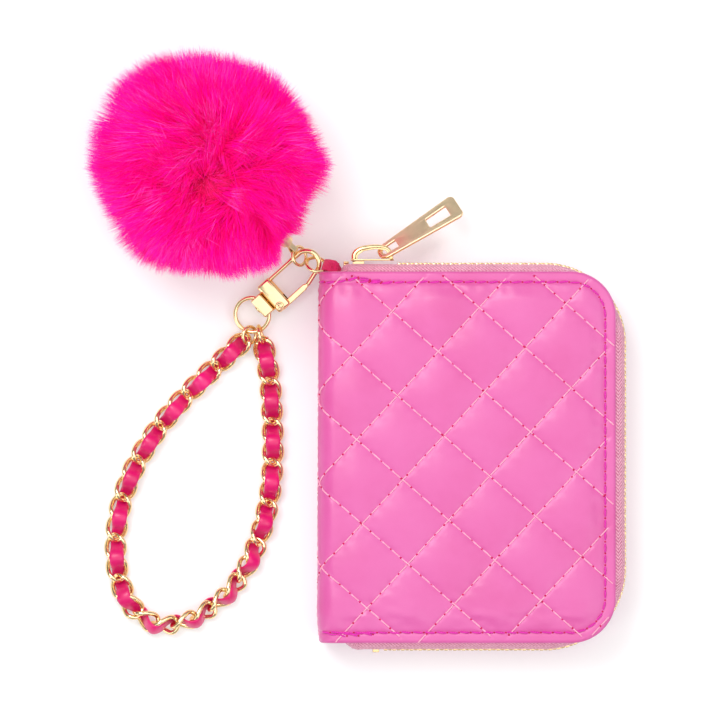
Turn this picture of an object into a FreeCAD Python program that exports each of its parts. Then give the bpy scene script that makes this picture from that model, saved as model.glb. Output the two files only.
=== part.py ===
import FreeCAD, Part
import math
import os

# Wristlet key chain set: a quilted zip-round wallet, a tab loop with a ring,
# a swivel clasp, a key ring, a closed chain strap with a ribbon woven through
# it, and a fur pom-pom. Millimetres, lying flat, +Z up, front cover on top.

os.makedirs("parts", exist_ok=True)
V = FreeCAD.Vector

# ---------------------------------------------------------------- dimensions
W_X0, W_X1 = -12.6, 76.4          # leather: spine edge and opening edge
W_Y0, W_Y1 = -87.45, 23.8         # leather: bottom and top edge
W_H = 22.0                        # wallet thickness
MID = W_H / 2                     # zip and spine hinge height
R_SPINE, R_OPEN = 2.2, 13.5       # plan corner radii
T_LEATHER = 1.6
T_SPINE = 1.4
T_FOAM, T_BOARD, T_LINING, T_CARDS = 1.0, 0.8, 0.5, 0.9
HINGE_GAP = 0.15                  # each side of the spine's fold line

ZIP_Y1, ZIP_X1, ZIP_Y0 = 26.0, 79.5, -89.6   # zip centre line, three sides
ZIP_R = 24.0                      # its corner radius
TAPE_T = 0.6
TAPE_START, TAPE_END = -5.4, -2.3
TEETH_START, TEETH_END = 10.9, 6.2
TOOTH_PITCH, TOOTH_W, TOOTH_T, TOOTH_H = 2.6, 1.3, 1.7, 2.4
ROW_GAP = 0.5                     # teeth row to mid plane

SLIDER_X0, SLIDER_X1 = -2.9, 10.0
SLIDER_GAP_Y0, SLIDER_GAP_Y1 = 24.9, 27.05
PLATE_T = 0.5

PULL_ROOT = (6.05, 29.0, MID)     # crossbar centre in the bridge
PULL_ANGLE = 32.5                 # pull's direction in plan
PULL_ROLL = 38.0                  # roll of the pull's face about its length
PULL_L, PULL_T = 27.4, 1.0
PULL_NECK, PULL_W0, PULL_W1 = 2.6, 4.6, 8.6
BAR_R = 0.35

POM_C = (-43.7, 55.5, 33.0)
POM_R, CORE_R = 35.0, 14.0

CLASP_C = (-25.96, 16.83, 4.1)
CLASP_AZ, CLASP_TILT = 42.0, 13.0
HOOK_R = 0.62
RING_R, RING_WIRE = 3.1, 0.5      # tab ring
TAB_RING_C, TAB_RING_N = (-13.153, 25.877, 8.315), (0.219, 0.711, 0.669)
POM_RING_R = 2.8
POM_RING_C, POM_RING_N = (-18.400, 28.532, 6.720), (0.7, 0.104, 0.706)
KEY_R, KEY_WIRE = 5.2, 0.6
KEY_TILT = 15.0
CHORD_S, CHORD_N = -4.48, 1.6     # where the key ring crosses the swivel eye
JR_R = 2.6

STRAP_Z = 3.0
LINK_WIRE, LINK_R, LINK_TILT = 0.7, 2.7, 43.0
LINK_GAP = 0.3
RIB_W, RIB_T, RIB_UP = 2.0, 0.5, 2.35
# crossings of the strap's links, evenly spaced round the loop
STRAP = (
    (-34.425, 3.840), (-38.906, -0.349), (-43.374, -4.551), (-47.833, -8.764),
    (-52.194, -13.077), (-56.329, -17.608), (-60.189, -22.375), (-63.726, -27.385),
    (-66.850, -32.664), (-69.484, -38.204), (-71.550, -43.979), (-72.963, -49.948),
    (-73.696, -56.038), (-73.710, -62.172), (-72.833, -68.243), (-70.767, -74.018),
    (-67.196, -79.005), (-61.939, -82.166), (-55.810, -82.411), (-50.013, -80.407),
    (-44.780, -77.207), (-40.143, -73.192), (-36.276, -68.431), (-33.249, -63.096),
    (-30.883, -57.436), (-29.013, -51.595), (-27.636, -45.617), (-26.772, -39.545),
    (-26.366, -33.424), (-26.313, -27.291), (-26.474, -21.159), (-26.746, -15.031),
    (-27.236, -8.917), (-28.187, -2.857), (-29.565, 3.120),
)
FOLDS = ((4, 32), (8, 28), (12, 24))
STRAP_LINKS = (
    (list(range(0, 4)), list(range(32, 34))),
    (list(range(4, 8)), list(range(28, 32))),
    (list(range(8, 12)), list(range(24, 28))),
    (list(range(12, 24)),),
)
JR1_C, JR1_N = (-33.425, 4.718, 2.597), (0.659, -0.167, 0.733)
JR2_C, JR2_N = (-30.053, 4.968, 3.136), (0.96, 0.243, 0.137)

# the whole set is centred on its own box
DX = -((POM_C[0] - POM_R) + (ZIP_X1 + TOOTH_T / 2)) / 2
DY = -((POM_C[1] + POM_R) + (ZIP_Y0 - TOOTH_T / 2)) / 2
SHIFT = V(DX, DY, 0)


def unit(v):
    v = V(v)
    v.normalize()
    return v


def save(name, shape):
    shape = shape.copy()
    shape.translate(SHIFT)
    shape.exportStep("parts/%s.step" % name)
    return shape


def single(shape):
    shape = shape.removeSplitter()
    return shape.Solids[0] if len(shape.Solids) == 1 else shape


def slab(x0, y0, x1, y1, z0, z1, r_left, r_right):
    """A plate with two radii at the spine side and two at the opening side."""
    def arc(cx, cy, r, a0):
        a = [math.radians(a0 + d) for d in (0, 45, 90)]
        pts = [V(cx + r * math.cos(t), cy + r * math.sin(t), z0) for t in a]
        return Part.Arc(*pts).toShape(), pts[0], pts[2]

    corners = [
        arc(x0 + r_left, y0 + r_left, r_left, 180),
        arc(x1 - r_right, y0 + r_right, r_right, 270),
        arc(x1 - r_right, y1 - r_right, r_right, 0),
        arc(x0 + r_left, y1 - r_left, r_left, 90),
    ]
    edges = []
    for i, c in enumerate(corners):
        edges.append(c[0])
        edges.append(Part.makeLine(c[2], corners[(i + 1) % 4][1]))
    return Part.Face(Part.Wire(edges)).extrude(V(0, 0, z1 - z0))


def flip(shape):
    """Mirror from the front half to the back half, about the zip's plane."""
    return shape.mirror(V(0, 0, MID), V(0, 0, 1))


def torus(c, n, big, small):
    return Part.makeTorus(big, small, V(*c), unit(V(*n)))


def cyl(a, b, r):
    a, b = V(*a), V(*b)
    return Part.makeCylinder(r, (b - a).Length, a, b - a)


def frame(o, x, y, z):
    m = FreeCAD.Matrix(
        x.x, y.x, z.x, o.x,
        x.y, y.y, z.y, o.y,
        x.z, y.z, z.z, o.z,
        0, 0, 0, 1,
    )
    return FreeCAD.Placement(m)


def placed(shape, p):
    s = shape.copy()
    s.Placement = p.multiply(s.Placement)
    return s


nodes = {}

# ------------------------------------------------------------------- wallet
top0 = W_H - T_LEATHER


def cover():
    panel = slab(W_X0, W_Y0, W_X1, W_Y1, top0, W_H, R_SPINE, R_OPEN)
    wall = Part.makeBox(
        T_SPINE, W_Y1 - W_Y0 - 2 * R_SPINE, top0 - MID - HINGE_GAP,
        V(W_X0, W_Y0 + R_SPINE, MID + HINGE_GAP))
    whole = single(panel.fuse(wall))
    edges = [
        e for e in whole.Edges
        if e.Length > 90 and abs(e.BoundBox.XMin - W_X0) < 1e-3
        and abs(e.BoundBox.ZMin - W_H) < 1e-3
    ]
    try:
        whole = whole.makeFillet(1.2, edges)
    except Exception:
        pass
    return whole


front_cover = cover()
nodes["front_cover_leather"] = front_cover
nodes["back_cover_leather"] = flip(front_cover)

foam = slab(W_X0 + 4.0, W_Y0 + 9, W_X1 - 9, W_Y1 - 9, top0 - T_FOAM, top0, 2, 6)
nodes["front_foam_padding"] = foam
nodes["back_foam_padding"] = flip(foam)
z = top0 - T_FOAM
board = slab(W_X0 + 3.0, W_Y0 + 3, W_X1 - 3, W_Y1 - 3, z - T_BOARD, z, 2, 11)
nodes["front_stiffener_board"] = board
nodes["back_stiffener_board"] = flip(board)
z -= T_BOARD
lining = slab(W_X0 + 2.4, W_Y0 + 2.4, W_X1 - 2.4, W_Y1 - 2.4, z - T_LINING, z, 2, 11.5)
nodes["front_lining"] = lining
nodes["back_lining"] = flip(lining)
z -= T_LINING


def cards(steps):
    """Card slots: sheets sewn one over the other, each one lower than the last."""
    out = None
    for i in range(steps):
        t = T_CARDS / steps
        s = Part.makeBox(
            62, 74 - 9 * i, t, V(W_X0 + 10, W_Y0 + 14, z - t * (i + 1)))
        out = s if out is None else out.fuse(s)
    return single(out)


nodes["front_card_slots"] = cards(3)
nodes["back_card_slots"] = flip(cards(3))

# coin pocket: a flat pouch on the spine, open at the top edge
p_z0, p_z1, p_t = 4.9, 10.6, 0.6
pouch = Part.makeBox(76, 97, p_z1 - p_z0, V(W_X0 + T_SPINE, W_Y0 + 5, p_z0))
inner = Part.makeBox(
    76 - 2 * p_t, 97, p_z1 - p_z0 - 2 * p_t,
    V(W_X0 + T_SPINE + p_t, W_Y0 + 5 + p_t, p_z0 + p_t))
nodes["coin_pocket"] = single(pouch.cut(inner))

# --------------------------------------------------------------------- zip
CX1, CY1, CY0 = ZIP_X1 - ZIP_R, ZIP_Y1 - ZIP_R, ZIP_Y0 + ZIP_R


def face_of(pts):
    return Part.Face(Part.makePolygon(pts + [pts[0]]))


def band(profile, x_top, x_bottom):
    """A section (n outward, z) carried along the top edge, round the corner,
    down the opening edge, round the next corner and along the bottom."""
    f = face_of([V(x_top, ZIP_Y1 + n, h) for n, h in profile])
    top = f.extrude(V(CX1 - x_top, 0, 0))
    f = face_of([V(CX1, ZIP_Y1 + n, h) for n, h in profile])
    c1 = f.revolve(V(CX1, CY1, 0), V(0, 0, 1), -90)
    f = face_of([V(ZIP_X1 + n, CY1, h) for n, h in profile])
    side = f.extrude(V(0, CY0 - CY1, 0))
    f = face_of([V(ZIP_X1 + n, CY0, h) for n, h in profile])
    c2 = f.revolve(V(CX1, CY0, 0), V(0, 0, 1), -90)
    f = face_of([V(CX1, ZIP_Y0 - n, h) for n, h in profile])
    bottom = f.extrude(V(x_bottom - CX1, 0, 0))
    return single(top.fuse([c1, side, c2, bottom]))


t = TAPE_T / 2
tape_low = MID + ROW_GAP + 0.85
tape_profile = [
    (-t, tape_low), (t, tape_low), (t, 15.7), (-2.05, top0), (-8, top0),
    (-8, top0 - TAPE_T), (-2.45, top0 - TAPE_T), (-t, 15.5),
]
tape = band(tape_profile, TAPE_START, TAPE_END)


def end_wall(y, x1, z0, z1):
    """The tape's folded-in end, which closes the edge up to the spine."""
    return Part.makeBox(x1 - W_X0 - 1.7, TAPE_T, z1 - z0, V(W_X0 + 1.7, y, z0))


END_IN = 3.6
top_wall = end_wall(ZIP_Y1 - END_IN - TAPE_T / 2, TAPE_START + 0.3, MID + 0.3, top0)
low_wall = end_wall(ZIP_Y0 + END_IN - TAPE_T / 2, TAPE_END + 0.3, MID + 0.3, top0)
tab_room = Part.makeBox(12, 4, 6, V(W_X0, ZIP_Y1 - END_IN - 2, 9.3))
nodes["front_zip_tape"] = single(tape.fuse([top_wall, low_wall]))
nodes["back_zip_tape"] = single(flip(tape).fuse([flip(top_wall).cut(tab_room), flip(low_wall)]))

g = t + 0.02
z0, z1, zt = MID + ROW_GAP, MID + ROW_GAP + TOOTH_H, tape_low - 0.05
h = TOOTH_T / 2
tooth_profile = [(-h, z0), (h, z0), (h, z1), (g, z1), (g, zt), (-g, zt), (-g, z1), (-h, z1)]


def stations(offset):
    """Tooth centres and outward angles along the zip line."""
    arc = ZIP_R * math.pi / 2
    lengths = [CX1 - TEETH_START, arc, CY1 - CY0, arc, CX1 - TEETH_END]
    total = sum(lengths)
    out = []
    s = 0.8 + offset
    while s < total - 0.8:
        d = s
        if d < lengths[0]:
            out.append((TEETH_START + d, ZIP_Y1, 90.0))
        elif d < sum(lengths[:2]):
            a = 90 - math.degrees((d - lengths[0]) / ZIP_R)
            out.append((CX1 + ZIP_R * math.cos(math.radians(a)),
                        CY1 + ZIP_R * math.sin(math.radians(a)), a))
        elif d < sum(lengths[:3]):
            out.append((ZIP_X1, CY1 - (d - sum(lengths[:2])), 0.0))
        elif d < sum(lengths[:4]):
            a = -math.degrees((d - sum(lengths[:3])) / ZIP_R)
            out.append((CX1 + ZIP_R * math.cos(math.radians(a)),
                        CY0 + ZIP_R * math.sin(math.radians(a)), a))
        else:
            out.append((CX1 - (d - sum(lengths[:4])), ZIP_Y0, -90.0))
        s += TOOTH_PITCH
    return out


def teeth(offset):
    one = face_of([V(n, -TOOTH_W / 2, q) for n, q in tooth_profile]).extrude(V(0, TOOTH_W, 0))
    out = []
    for x, y, a in stations(offset):
        c = one.copy()
        c.rotate(V(0, 0, 0), V(0, 0, 1), a)
        c.translate(V(x, y, 0))
        out.append(c)
    return out


nodes["front_zip_teeth"] = Part.makeCompound(teeth(0.0))
nodes["back_zip_teeth"] = Part.makeCompound([flip(s) for s in teeth(TOOTH_PITCH / 2)])

stop = face_of([V(-5.1, ZIP_Y1 + n, q) for n, q in tooth_profile]).extrude(V(1.6, 0, 0))
nodes["front_zip_top_stop"] = stop
nodes["back_zip_top_stop"] = flip(stop)
end_stop = face_of([V(TEETH_END - 2.6, ZIP_Y0 - n, q) for n, q in tooth_profile]).extrude(V(2.0, 0, 0))
nodes["zip_end_stop"] = flip(end_stop)


def plate(y0, y1, k=1.0):
    """Slider plate: wide at the parting end, narrow at the meshing end."""
    pts = [(SLIDER_X0 + 0.9, 3.7), (SLIDER_X0, 2.6), (SLIDER_X0, -2.6), (SLIDER_X0 + 0.9, -3.7),
           (SLIDER_X0 + 4.5, -3.9), (SLIDER_X1 - 1.2, -3.0), (SLIDER_X1, -2.0),
           (SLIDER_X1, 2.0), (SLIDER_X1 - 1.2, 3.0), (SLIDER_X0 + 4.5, 3.9)]
    return face_of([V(x, y0, MID + q * k) for x, q in pts]).extrude(V(0, y1 - y0, 0))


outer = plate(SLIDER_GAP_Y1, SLIDER_GAP_Y1 + PLATE_T)
inner_plate = plate(SLIDER_GAP_Y0 - PLATE_T, SLIDER_GAP_Y0)
post = Part.makeBox(3.4, SLIDER_GAP_Y1 - SLIDER_GAP_Y0 + 0.4, 0.7,
                    V(SLIDER_X0 + 0.6, SLIDER_GAP_Y0 - 0.2, MID - 0.35))
y_p = SLIDER_GAP_Y1 + PLATE_T
bridge_out = [(-2.0, y_p - 0.2), (-1.7, 29.0), (0.9, 30.55), (4.6, 31.05), (7.8, 30.7), (9.3, 29.3), (9.5, y_p - 0.2)]
bridge_in = [(8.5, y_p - 0.2), (8.4, 29.0), (7.4, 30.2), (4.6, 30.55), (1.1, 30.0), (-0.8, 28.7), (-0.95, y_p - 0.2)]
bridge = face_of([V(x, y, MID - 0.5) for x, y in bridge_out + bridge_in]).extrude(V(0, 0, 1.0))
nodes["zip_slider"] = single(outer.fuse([inner_plate, post, bridge]))

# pull: a tapered plate with a window at each end, hung by its end crossbar
a, roll = math.radians(PULL_ANGLE), math.radians(PULL_ROLL)
pl = V(math.cos(a), math.sin(a), 0)
side_v = V(math.sin(a), -math.cos(a), 0)
pw = side_v * math.cos(roll) + V(0, 0, 1) * math.sin(roll)
pn = pl.cross(pw)
if pn.z < 0:
    pn = pn * -1
py = pn.cross(pl)
PULL_FRAME = frame(V(*PULL_ROOT), pl, py, pn)
outline = [(0.0, PULL_NECK / 2), (1.0, PULL_W0 / 2), (PULL_L - 1.3, PULL_W1 / 2),
           (PULL_L, PULL_W1 / 2 - 1.3)]
pts = [V(x, y, -PULL_T / 2) for x, y in outline]
pts += [V(x, -y, -PULL_T / 2) for x, y in reversed(outline)]
blade = face_of(pts).extrude(V(0, 0, PULL_T))
slot = [(-1.0, 0.85), (0.45, 0.85), (1.1, 1.8), (5.9, 2.0)]
slot_w = face_of([V(x, y, -2) for x, y in slot] + [V(x, -y, -2) for x, y in reversed(slot)]).extrude(V(0, 0, 4))
window = face_of([V(16.6, -2.1, -2), V(24.6, -2.4, -2), V(24.6, 2.4, -2), V(16.6, 2.1, -2)]).extrude(V(0, 0, 4))
blade = blade.cut(slot_w.fuse(window))
# the crossbar itself is a thin round bar
bar = cyl((0.15, -1.1, 0), (0.15, 1.1, 0), BAR_R)
nodes["zip_pull"] = placed(single(blade.fuse(bar)), PULL_FRAME)

# ------------------------------------------------------------ tab and rings
tr_c, tr_n = V(*TAB_RING_C), unit(V(*TAB_RING_N))
nodes["tab_ring"] = torus(TAB_RING_C, TAB_RING_N, RING_R, RING_WIRE)
want = V(1, -0.25, 0.35)
tab_dir = unit(want - tr_n * want.dot(tr_n))
TAB_P = tr_c + tab_dir * RING_R
TAB_AXIS = tr_n.cross(tab_dir)
leg = V(0.924, 0.061, 0.376)
leg = unit(leg - TAB_AXIS * leg.dot(TAB_AXIS))
TAB_FRAME = frame(TAB_P, leg, TAB_AXIS, leg.cross(TAB_AXIS))
TAB_W = 1.3


def loop_strip(inner_r, thick, back, half_w, join, leg_end, leg_t):
    """A folded strip: round a wire at the origin, both layers joined at
    `join` and running on as one laminate to `leg_end`."""
    ro = inner_r + thick
    eye = Part.makeCylinder(ro, 2 * half_w, V(-back, -half_w, 0), V(0, 1, 0))
    taper = face_of([V(-back, -half_w, ro), V(join, -half_w, leg_t / 2), V(join, -half_w, -leg_t / 2),
                     V(-back, -half_w, -ro)]).extrude(V(0, 2 * half_w, 0))
    run = Part.makeBox(leg_end - join, 2 * half_w, leg_t, V(join, -half_w, -leg_t / 2))
    body = eye.fuse([taper, run])
    hole = Part.makeCylinder(inner_r, 2 * half_w + 2, V(-back, -half_w - 1, 0), V(0, 1, 0))
    hole2 = face_of([V(-back, -half_w - 1, inner_r), V(join - 0.5, -half_w - 1, 0.12),
                     V(join - 0.5, -half_w - 1, -0.12), V(-back, -half_w - 1, -inner_r)]).extrude(
                         V(0, 2 * half_w + 2, 0))
    return body.cut(hole.fuse(hole2))


tab = placed(loop_strip(0.86, 0.42, 0.22, TAB_W, 2.4, 3.7, 1.2), TAB_FRAME)
anchor = Part.makeBox(4.9, 6.4, 1.2, V(W_X0 + T_SPINE, 16.0, 9.6))
riser = Part.makeBox(2.3, 4.0, 1.2, V(-8.6, 22.0, 9.6))
nodes["tab_loop"] = single(tab.fuse([anchor, riser]))

pr_c, pr_n = V(*POM_RING_C), unit(V(*POM_RING_N))
nodes["pom_ring"] = torus(POM_RING_C, POM_RING_N, POM_RING_R, RING_WIRE)
want = V(-0.75, 0.62, 0.35)
bail_dir = unit(want - pr_n * want.dot(pr_n))
BAIL_P = pr_c + bail_dir * POM_RING_R
BAIL_AXIS = pr_n.cross(bail_dir)
pom_c = V(*POM_C)
bail_e = pom_c - BAIL_P
bail_e = unit(bail_e - BAIL_AXIS * bail_e.dot(BAIL_AXIS))
BAIL_FRAME = frame(BAIL_P, bail_e, BAIL_AXIS, bail_e.cross(BAIL_AXIS))
nodes["pom_bail"] = placed(single(loop_strip(0.68, 0.4, 0.0, 0.9, 2.3, 3.3, 1.0)), BAIL_FRAME)
cap_a = BAIL_P + bail_e * 3.4
cord_dir = unit(pom_c - cap_a)
cap_b = cap_a + cord_dir * 4.4
cap = Part.makeCylinder(1.9, 4.4, cap_a, cord_dir)
bore = Part.makeCylinder(1.0, 3.6, cap_a + cord_dir * 0.8, cord_dir)
nodes["pom_cap"] = cap.cut(bore)
cord_len = (pom_c - cap_a).Length - 0.85 - CORE_R
nodes["pom_cord"] = Part.makeCylinder(0.95, cord_len, cap_a + cord_dir * 0.85, cord_dir)
nodes["pom_core"] = Part.makeSphere(CORE_R, pom_c)
fur = Part.makeSphere(POM_R, pom_c)
fur = fur.common(Part.makeBox(100, 100, 100, V(pom_c.x - 50, pom_c.y - 50, 0)))
fur = fur.cut(Part.makeSphere(CORE_R + 0.15, pom_c))
channel = Part.makeCylinder(2.2, 60, cap_a - cord_dir * 20, cord_dir)
fur = fur.cut(channel.cut(Part.makeSphere(CORE_R, pom_c)))
nodes["pom_fur"] = single(fur)

# -------------------------------------------------------------------- clasp
az, tilt = math.radians(CLASP_AZ), math.radians(CLASP_TILT)
es = V(math.cos(az) * math.cos(tilt), math.sin(az) * math.cos(tilt), math.sin(tilt))
eq = V(-math.sin(az), math.cos(az), 0)
en = es.cross(eq)
clasp_o = V(*CLASP_C)
CLASP = frame(clasp_o, es, eq, en)


def clasp_point(s, q, n):
    return clasp_o + es * s + eq * q + en * n


band_box = Part.makeBox(4.6, 10.3, 3.4, V(-2.3, -5.15, -1.7))
try:
    band_box = band_box.makeFillet(0.7, [e for e in band_box.Edges if e.Length > 3])
except Exception:
    pass
gate_slot = Part.makeBox(5.0, 4.2, 1.6, V(-1.95, -5.8, -0.8))
head_room = Part.makeCylinder(1.3, 1.1, V(-1.55, 0, 0), V(1, 0, 0))
shank_bore = Part.makeCylinder(0.6, 2.0, V(-3.0, 0, 0), V(1, 0, 0))
RIVET = (-0.6, -3.6)
rivet_bore = Part.makeCylinder(0.5, 6, V(RIVET[0], RIVET[1], -3))
band_box = band_box.cut(gate_slot.fuse([head_room, shank_bore, rivet_bore]))
left_bar = cyl((2.1, 4.3, 0), (14.0, 4.3, 0), HOOK_R)
arc_face = Part.Face(Part.Wire(Part.makeCircle(HOOK_R, V(14.0, 4.3, 0), V(1, 0, 0))))
hook_arc = arc_face.revolve(V(14.0, 0.5, 0), V(0, 0, 1), -180)
knee = Part.makeSphere(HOOK_R, V(14.0, -3.3, 0))
nose = cyl((14.0, -3.3, 0), (10.1, -4.33, 0), HOOK_R)
clasp_frame = single(band_box.fuse([left_bar, hook_arc, knee, nose]))
nodes["clasp_frame"] = placed(clasp_frame, CLASP)
rivet = Part.makeCylinder(0.5, 3.4, V(RIVET[0], RIVET[1], -1.7))
heads = [Part.makeCylinder(1.3, 0.3, V(RIVET[0], RIVET[1], 1.7)),
         Part.makeCylinder(1.3, 0.3, V(RIVET[0], RIVET[1], -2.0))]
nodes["gate_rivet"] = placed(single(rivet.fuse(heads)), CLASP)
eye = Part.makeCylinder(1.2, 1.24, V(RIVET[0], RIVET[1], -0.62))
arm = Part.makeBox(9.85, 1.25, 1.24, V(-0.2, -5.0, -0.62))
gate = eye.fuse(arm).cut(Part.makeCylinder(0.55, 3, V(RIVET[0], RIVET[1], -1.5)))
nodes["clasp_gate"] = placed(single(gate), CLASP)
coil = [Part.makeTorus(0.8, 0.07, V(RIVET[0], RIVET[1], q)) for q in (-0.715,)]
nodes["gate_spring"] = placed(coil[0], CLASP)
pin = Part.makeCylinder(1.1, 0.8, V(-1.4, 0, 0), V(1, 0, 0)).fuse([
    Part.makeCylinder(0.5, 4.9, V(-6.2, 0, 0), V(1, 0, 0)),
    Part.makeCylinder(1.3, 0.7, V(-6.85, 0, 0), V(1, 0, 0))])
nodes["swivel_pin"] = placed(single(pin), CLASP)
eyebox = Part.makeBox(3.65, 6.7, 4.35, V(-6.1, -3.35, -1.15))
try:
    eyebox = eyebox.makeFillet(0.5, [e for e in eyebox.Edges
                                     if e.BoundBox.ZMin > 3.0 or e.BoundBox.ZLength > 4])
except Exception:
    pass
room = Part.makeBox(2.85, 5.2, 3.65, V(-5.65, -2.6, -1.2))
ears = Part.makeCylinder(1.3, 10, V(CHORD_S, -5, CHORD_N), V(0, 1, 0))
pinhole = Part.makeCylinder(0.52, 8, V(-8, 0, 0), V(1, 0, 0))
nodes["swivel_bracket"] = placed(single(eyebox.cut(room.fuse([ears, pinhole]))), CLASP)

psi = math.radians(KEY_TILT)
chord = clasp_point(CHORD_S, 0, CHORD_N)
kg = V(-math.cos(az) * math.cos(psi), -math.sin(az) * math.cos(psi), -math.sin(psi))
key_c = chord + kg * math.sqrt(KEY_R ** 2 - 2.9 ** 2)
KEY_AXIS = unit(V(0, 0, 1).cross(kg)) * -1
key_n = kg.cross(KEY_AXIS)
nodes["key_ring"] = torus(tuple(key_c), tuple(key_n), KEY_R, KEY_WIRE)
nodes["strap_jump_ring_left"] = torus(JR1_C, JR1_N, JR_R, RING_WIRE)
nodes["strap_jump_ring_right"] = torus(JR2_C, JR2_N, JR_R, RING_WIRE)


def key_point(c):
    """The point of the key ring's wire nearest to c."""
    d = V(*c) - key_c
    n = unit(key_n)
    return key_c + unit(d - n * d.dot(n)) * KEY_R


STRAP_PIVOT_A, STRAP_PIVOT_B = key_point(JR1_C), key_point(JR2_C)

# -------------------------------------------------------------------- strap
C = [V(x, y, STRAP_Z) for x, y in STRAP]
PITCH = (C[1] - C[0]).Length
half = (PITCH + 2 * LINK_WIRE + LINK_GAP) / 2
run = half - LINK_R
one = [cyl((-run, LINK_R, 0), (run, LINK_R, 0), LINK_WIRE), cyl((-run, -LINK_R, 0), (run, -LINK_R, 0), LINK_WIRE)]
f = Part.Face(Part.Wire(Part.makeCircle(LINK_WIRE, V(run, -LINK_R, 0), V(1, 0, 0))))
one.append(f.revolve(V(run, 0, 0), V(0, 0, 1), 180))
f = Part.Face(Part.Wire(Part.makeCircle(LINK_WIRE, V(-run, LINK_R, 0), V(1, 0, 0))))
one.append(f.revolve(V(-run, 0, 0), V(0, 0, 1), 180))
link_shape = one[0].fuse(one[1:])
link_shape = link_shape.removeSplitter().Solids[0]


def link(i):
    a, b = C[i], C[i + 1]
    tx = unit(b - a)
    lat = V(-tx.y, tx.x, 0)
    ang = math.radians(LINK_TILT if i % 2 == 0 else -LINK_TILT)
    w = lat * math.cos(ang) + V(0, 0, 1) * math.sin(ang)
    return placed(link_shape, frame((a + b) * 0.5, tx, w, tx.cross(w)))


def lateral(i):
    a = C[max(i - 1, 0)]
    b = C[min(i + 1, len(C) - 1)]
    tx = unit(b - a)
    return V(-tx.y, tx.x, 0)


def ribbon(first, last):
    """The woven strip from crossing `first` to crossing `last`: over the odd
    crossings, under the even ones, through each link between."""
    rows = []
    for i in range(first, last):
        a, b = C[i], C[i + 1]
        tx = unit(b - a)
        la, lb = lateral(i), lateral(i + 1)
        ha = RIB_UP if i % 2 else -RIB_UP
        hb = -ha
        s0 = 1.75 if i == first else 1.2
        s1 = 1.75 if i == last - 1 else 1.2
        slope = math.atan2(hb - ha, PITCH - 2.4)
        flat = V(0, 0, 1)
        nrm = (tx * -math.sin(slope) + V(0, 0, 1) * math.cos(slope))
        bis = unit(flat + nrm)
        if i == first:
            rows.append((a + tx * s0 + V(0, 0, ha * (1 - 2 * max(s0 - 1.2, 0) / (PITCH - 2.4))), la, nrm))
        else:
            rows.append((a + tx * s0 + V(0, 0, ha), la, bis))
        if i == last - 1:
            rows.append((b - tx * s1 + V(0, 0, hb * (1 - 2 * max(s1 - 1.2, 0) / (PITCH - 2.4))), lb, nrm))
        else:
            rows.append((b - tx * s1 + V(0, 0, hb), lb, bis))
    sections = []
    for p, l, n in rows:
        sections.append([p + l * x * (RIB_W / 2) + n * y * (RIB_T / 2)
                         for x, y in ((-1, -1), (1, -1), (1, 1), (-1, 1))])
    faces = []

    def tri(a, b, c):
        faces.append(Part.Face(Part.makePolygon([a, b, c, a])))

    for a, b in zip(sections, sections[1:]):
        for k in range(4):
            m = (k + 1) % 4
            tri(a[k], a[m], b[m])
            tri(a[k], b[m], b[k])
    tri(sections[0][0], sections[0][1], sections[0][2])
    tri(sections[0][0], sections[0][2], sections[0][3])
    e = sections[-1]
    tri(e[0], e[2], e[1])
    tri(e[0], e[3], e[2])
    solid = Part.Solid(Part.Shell(faces))
    if solid.Volume < 0:
        solid.reverse()
    return solid


for k, runs in enumerate(STRAP_LINKS):
    links, strips = [], []
    for r in runs:
        links += [link(i) for i in r]
        strips.append(ribbon(r[0], r[-1] + 1))
    nodes["strap_links_%d" % (k + 1)] = Part.makeCompound(links)
    nodes["strap_ribbon_%d" % (k + 1)] = Part.makeCompound(strips) if len(strips) > 1 else strips[0]

for name, shape in nodes.items():
    save(name, shape)
    if not shape.isValid():
        print("not valid:", name)
print(len(nodes), "nodes, pitch", round(PITCH, 3))
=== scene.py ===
import math

import bmesh
import bpy
import numpy as np
from mathutils import Matrix, Vector


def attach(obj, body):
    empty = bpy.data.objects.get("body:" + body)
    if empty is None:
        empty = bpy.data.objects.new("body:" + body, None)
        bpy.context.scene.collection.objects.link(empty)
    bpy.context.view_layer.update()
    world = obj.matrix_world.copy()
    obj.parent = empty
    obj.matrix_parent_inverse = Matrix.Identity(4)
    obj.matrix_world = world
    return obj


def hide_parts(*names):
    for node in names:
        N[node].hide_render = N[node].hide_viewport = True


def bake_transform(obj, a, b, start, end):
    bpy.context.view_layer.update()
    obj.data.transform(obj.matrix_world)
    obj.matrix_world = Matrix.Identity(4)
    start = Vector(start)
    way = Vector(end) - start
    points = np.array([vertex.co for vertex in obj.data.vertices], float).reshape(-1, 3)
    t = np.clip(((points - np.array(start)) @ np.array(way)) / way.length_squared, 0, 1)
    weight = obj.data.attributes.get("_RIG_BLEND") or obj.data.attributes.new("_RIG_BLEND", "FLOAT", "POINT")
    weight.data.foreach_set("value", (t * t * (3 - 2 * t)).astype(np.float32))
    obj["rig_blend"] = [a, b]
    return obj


# A wristlet key chain set lying flat: quilted wallet, tab, clasp, key ring,
# woven chain strap and fur pom-pom. Lengths below are millimetres in the
# drawing's own coordinates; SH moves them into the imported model's frame.

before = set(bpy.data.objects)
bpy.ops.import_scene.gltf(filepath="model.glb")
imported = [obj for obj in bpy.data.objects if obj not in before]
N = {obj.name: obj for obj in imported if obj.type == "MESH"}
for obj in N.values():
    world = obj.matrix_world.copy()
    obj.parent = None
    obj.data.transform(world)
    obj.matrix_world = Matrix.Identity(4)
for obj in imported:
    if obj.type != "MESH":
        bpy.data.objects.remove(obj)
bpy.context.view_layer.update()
SH = np.array([-0.825, -0.025, 0.0])
RNG = np.random.default_rng(7)
sc = bpy.context.scene

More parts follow.
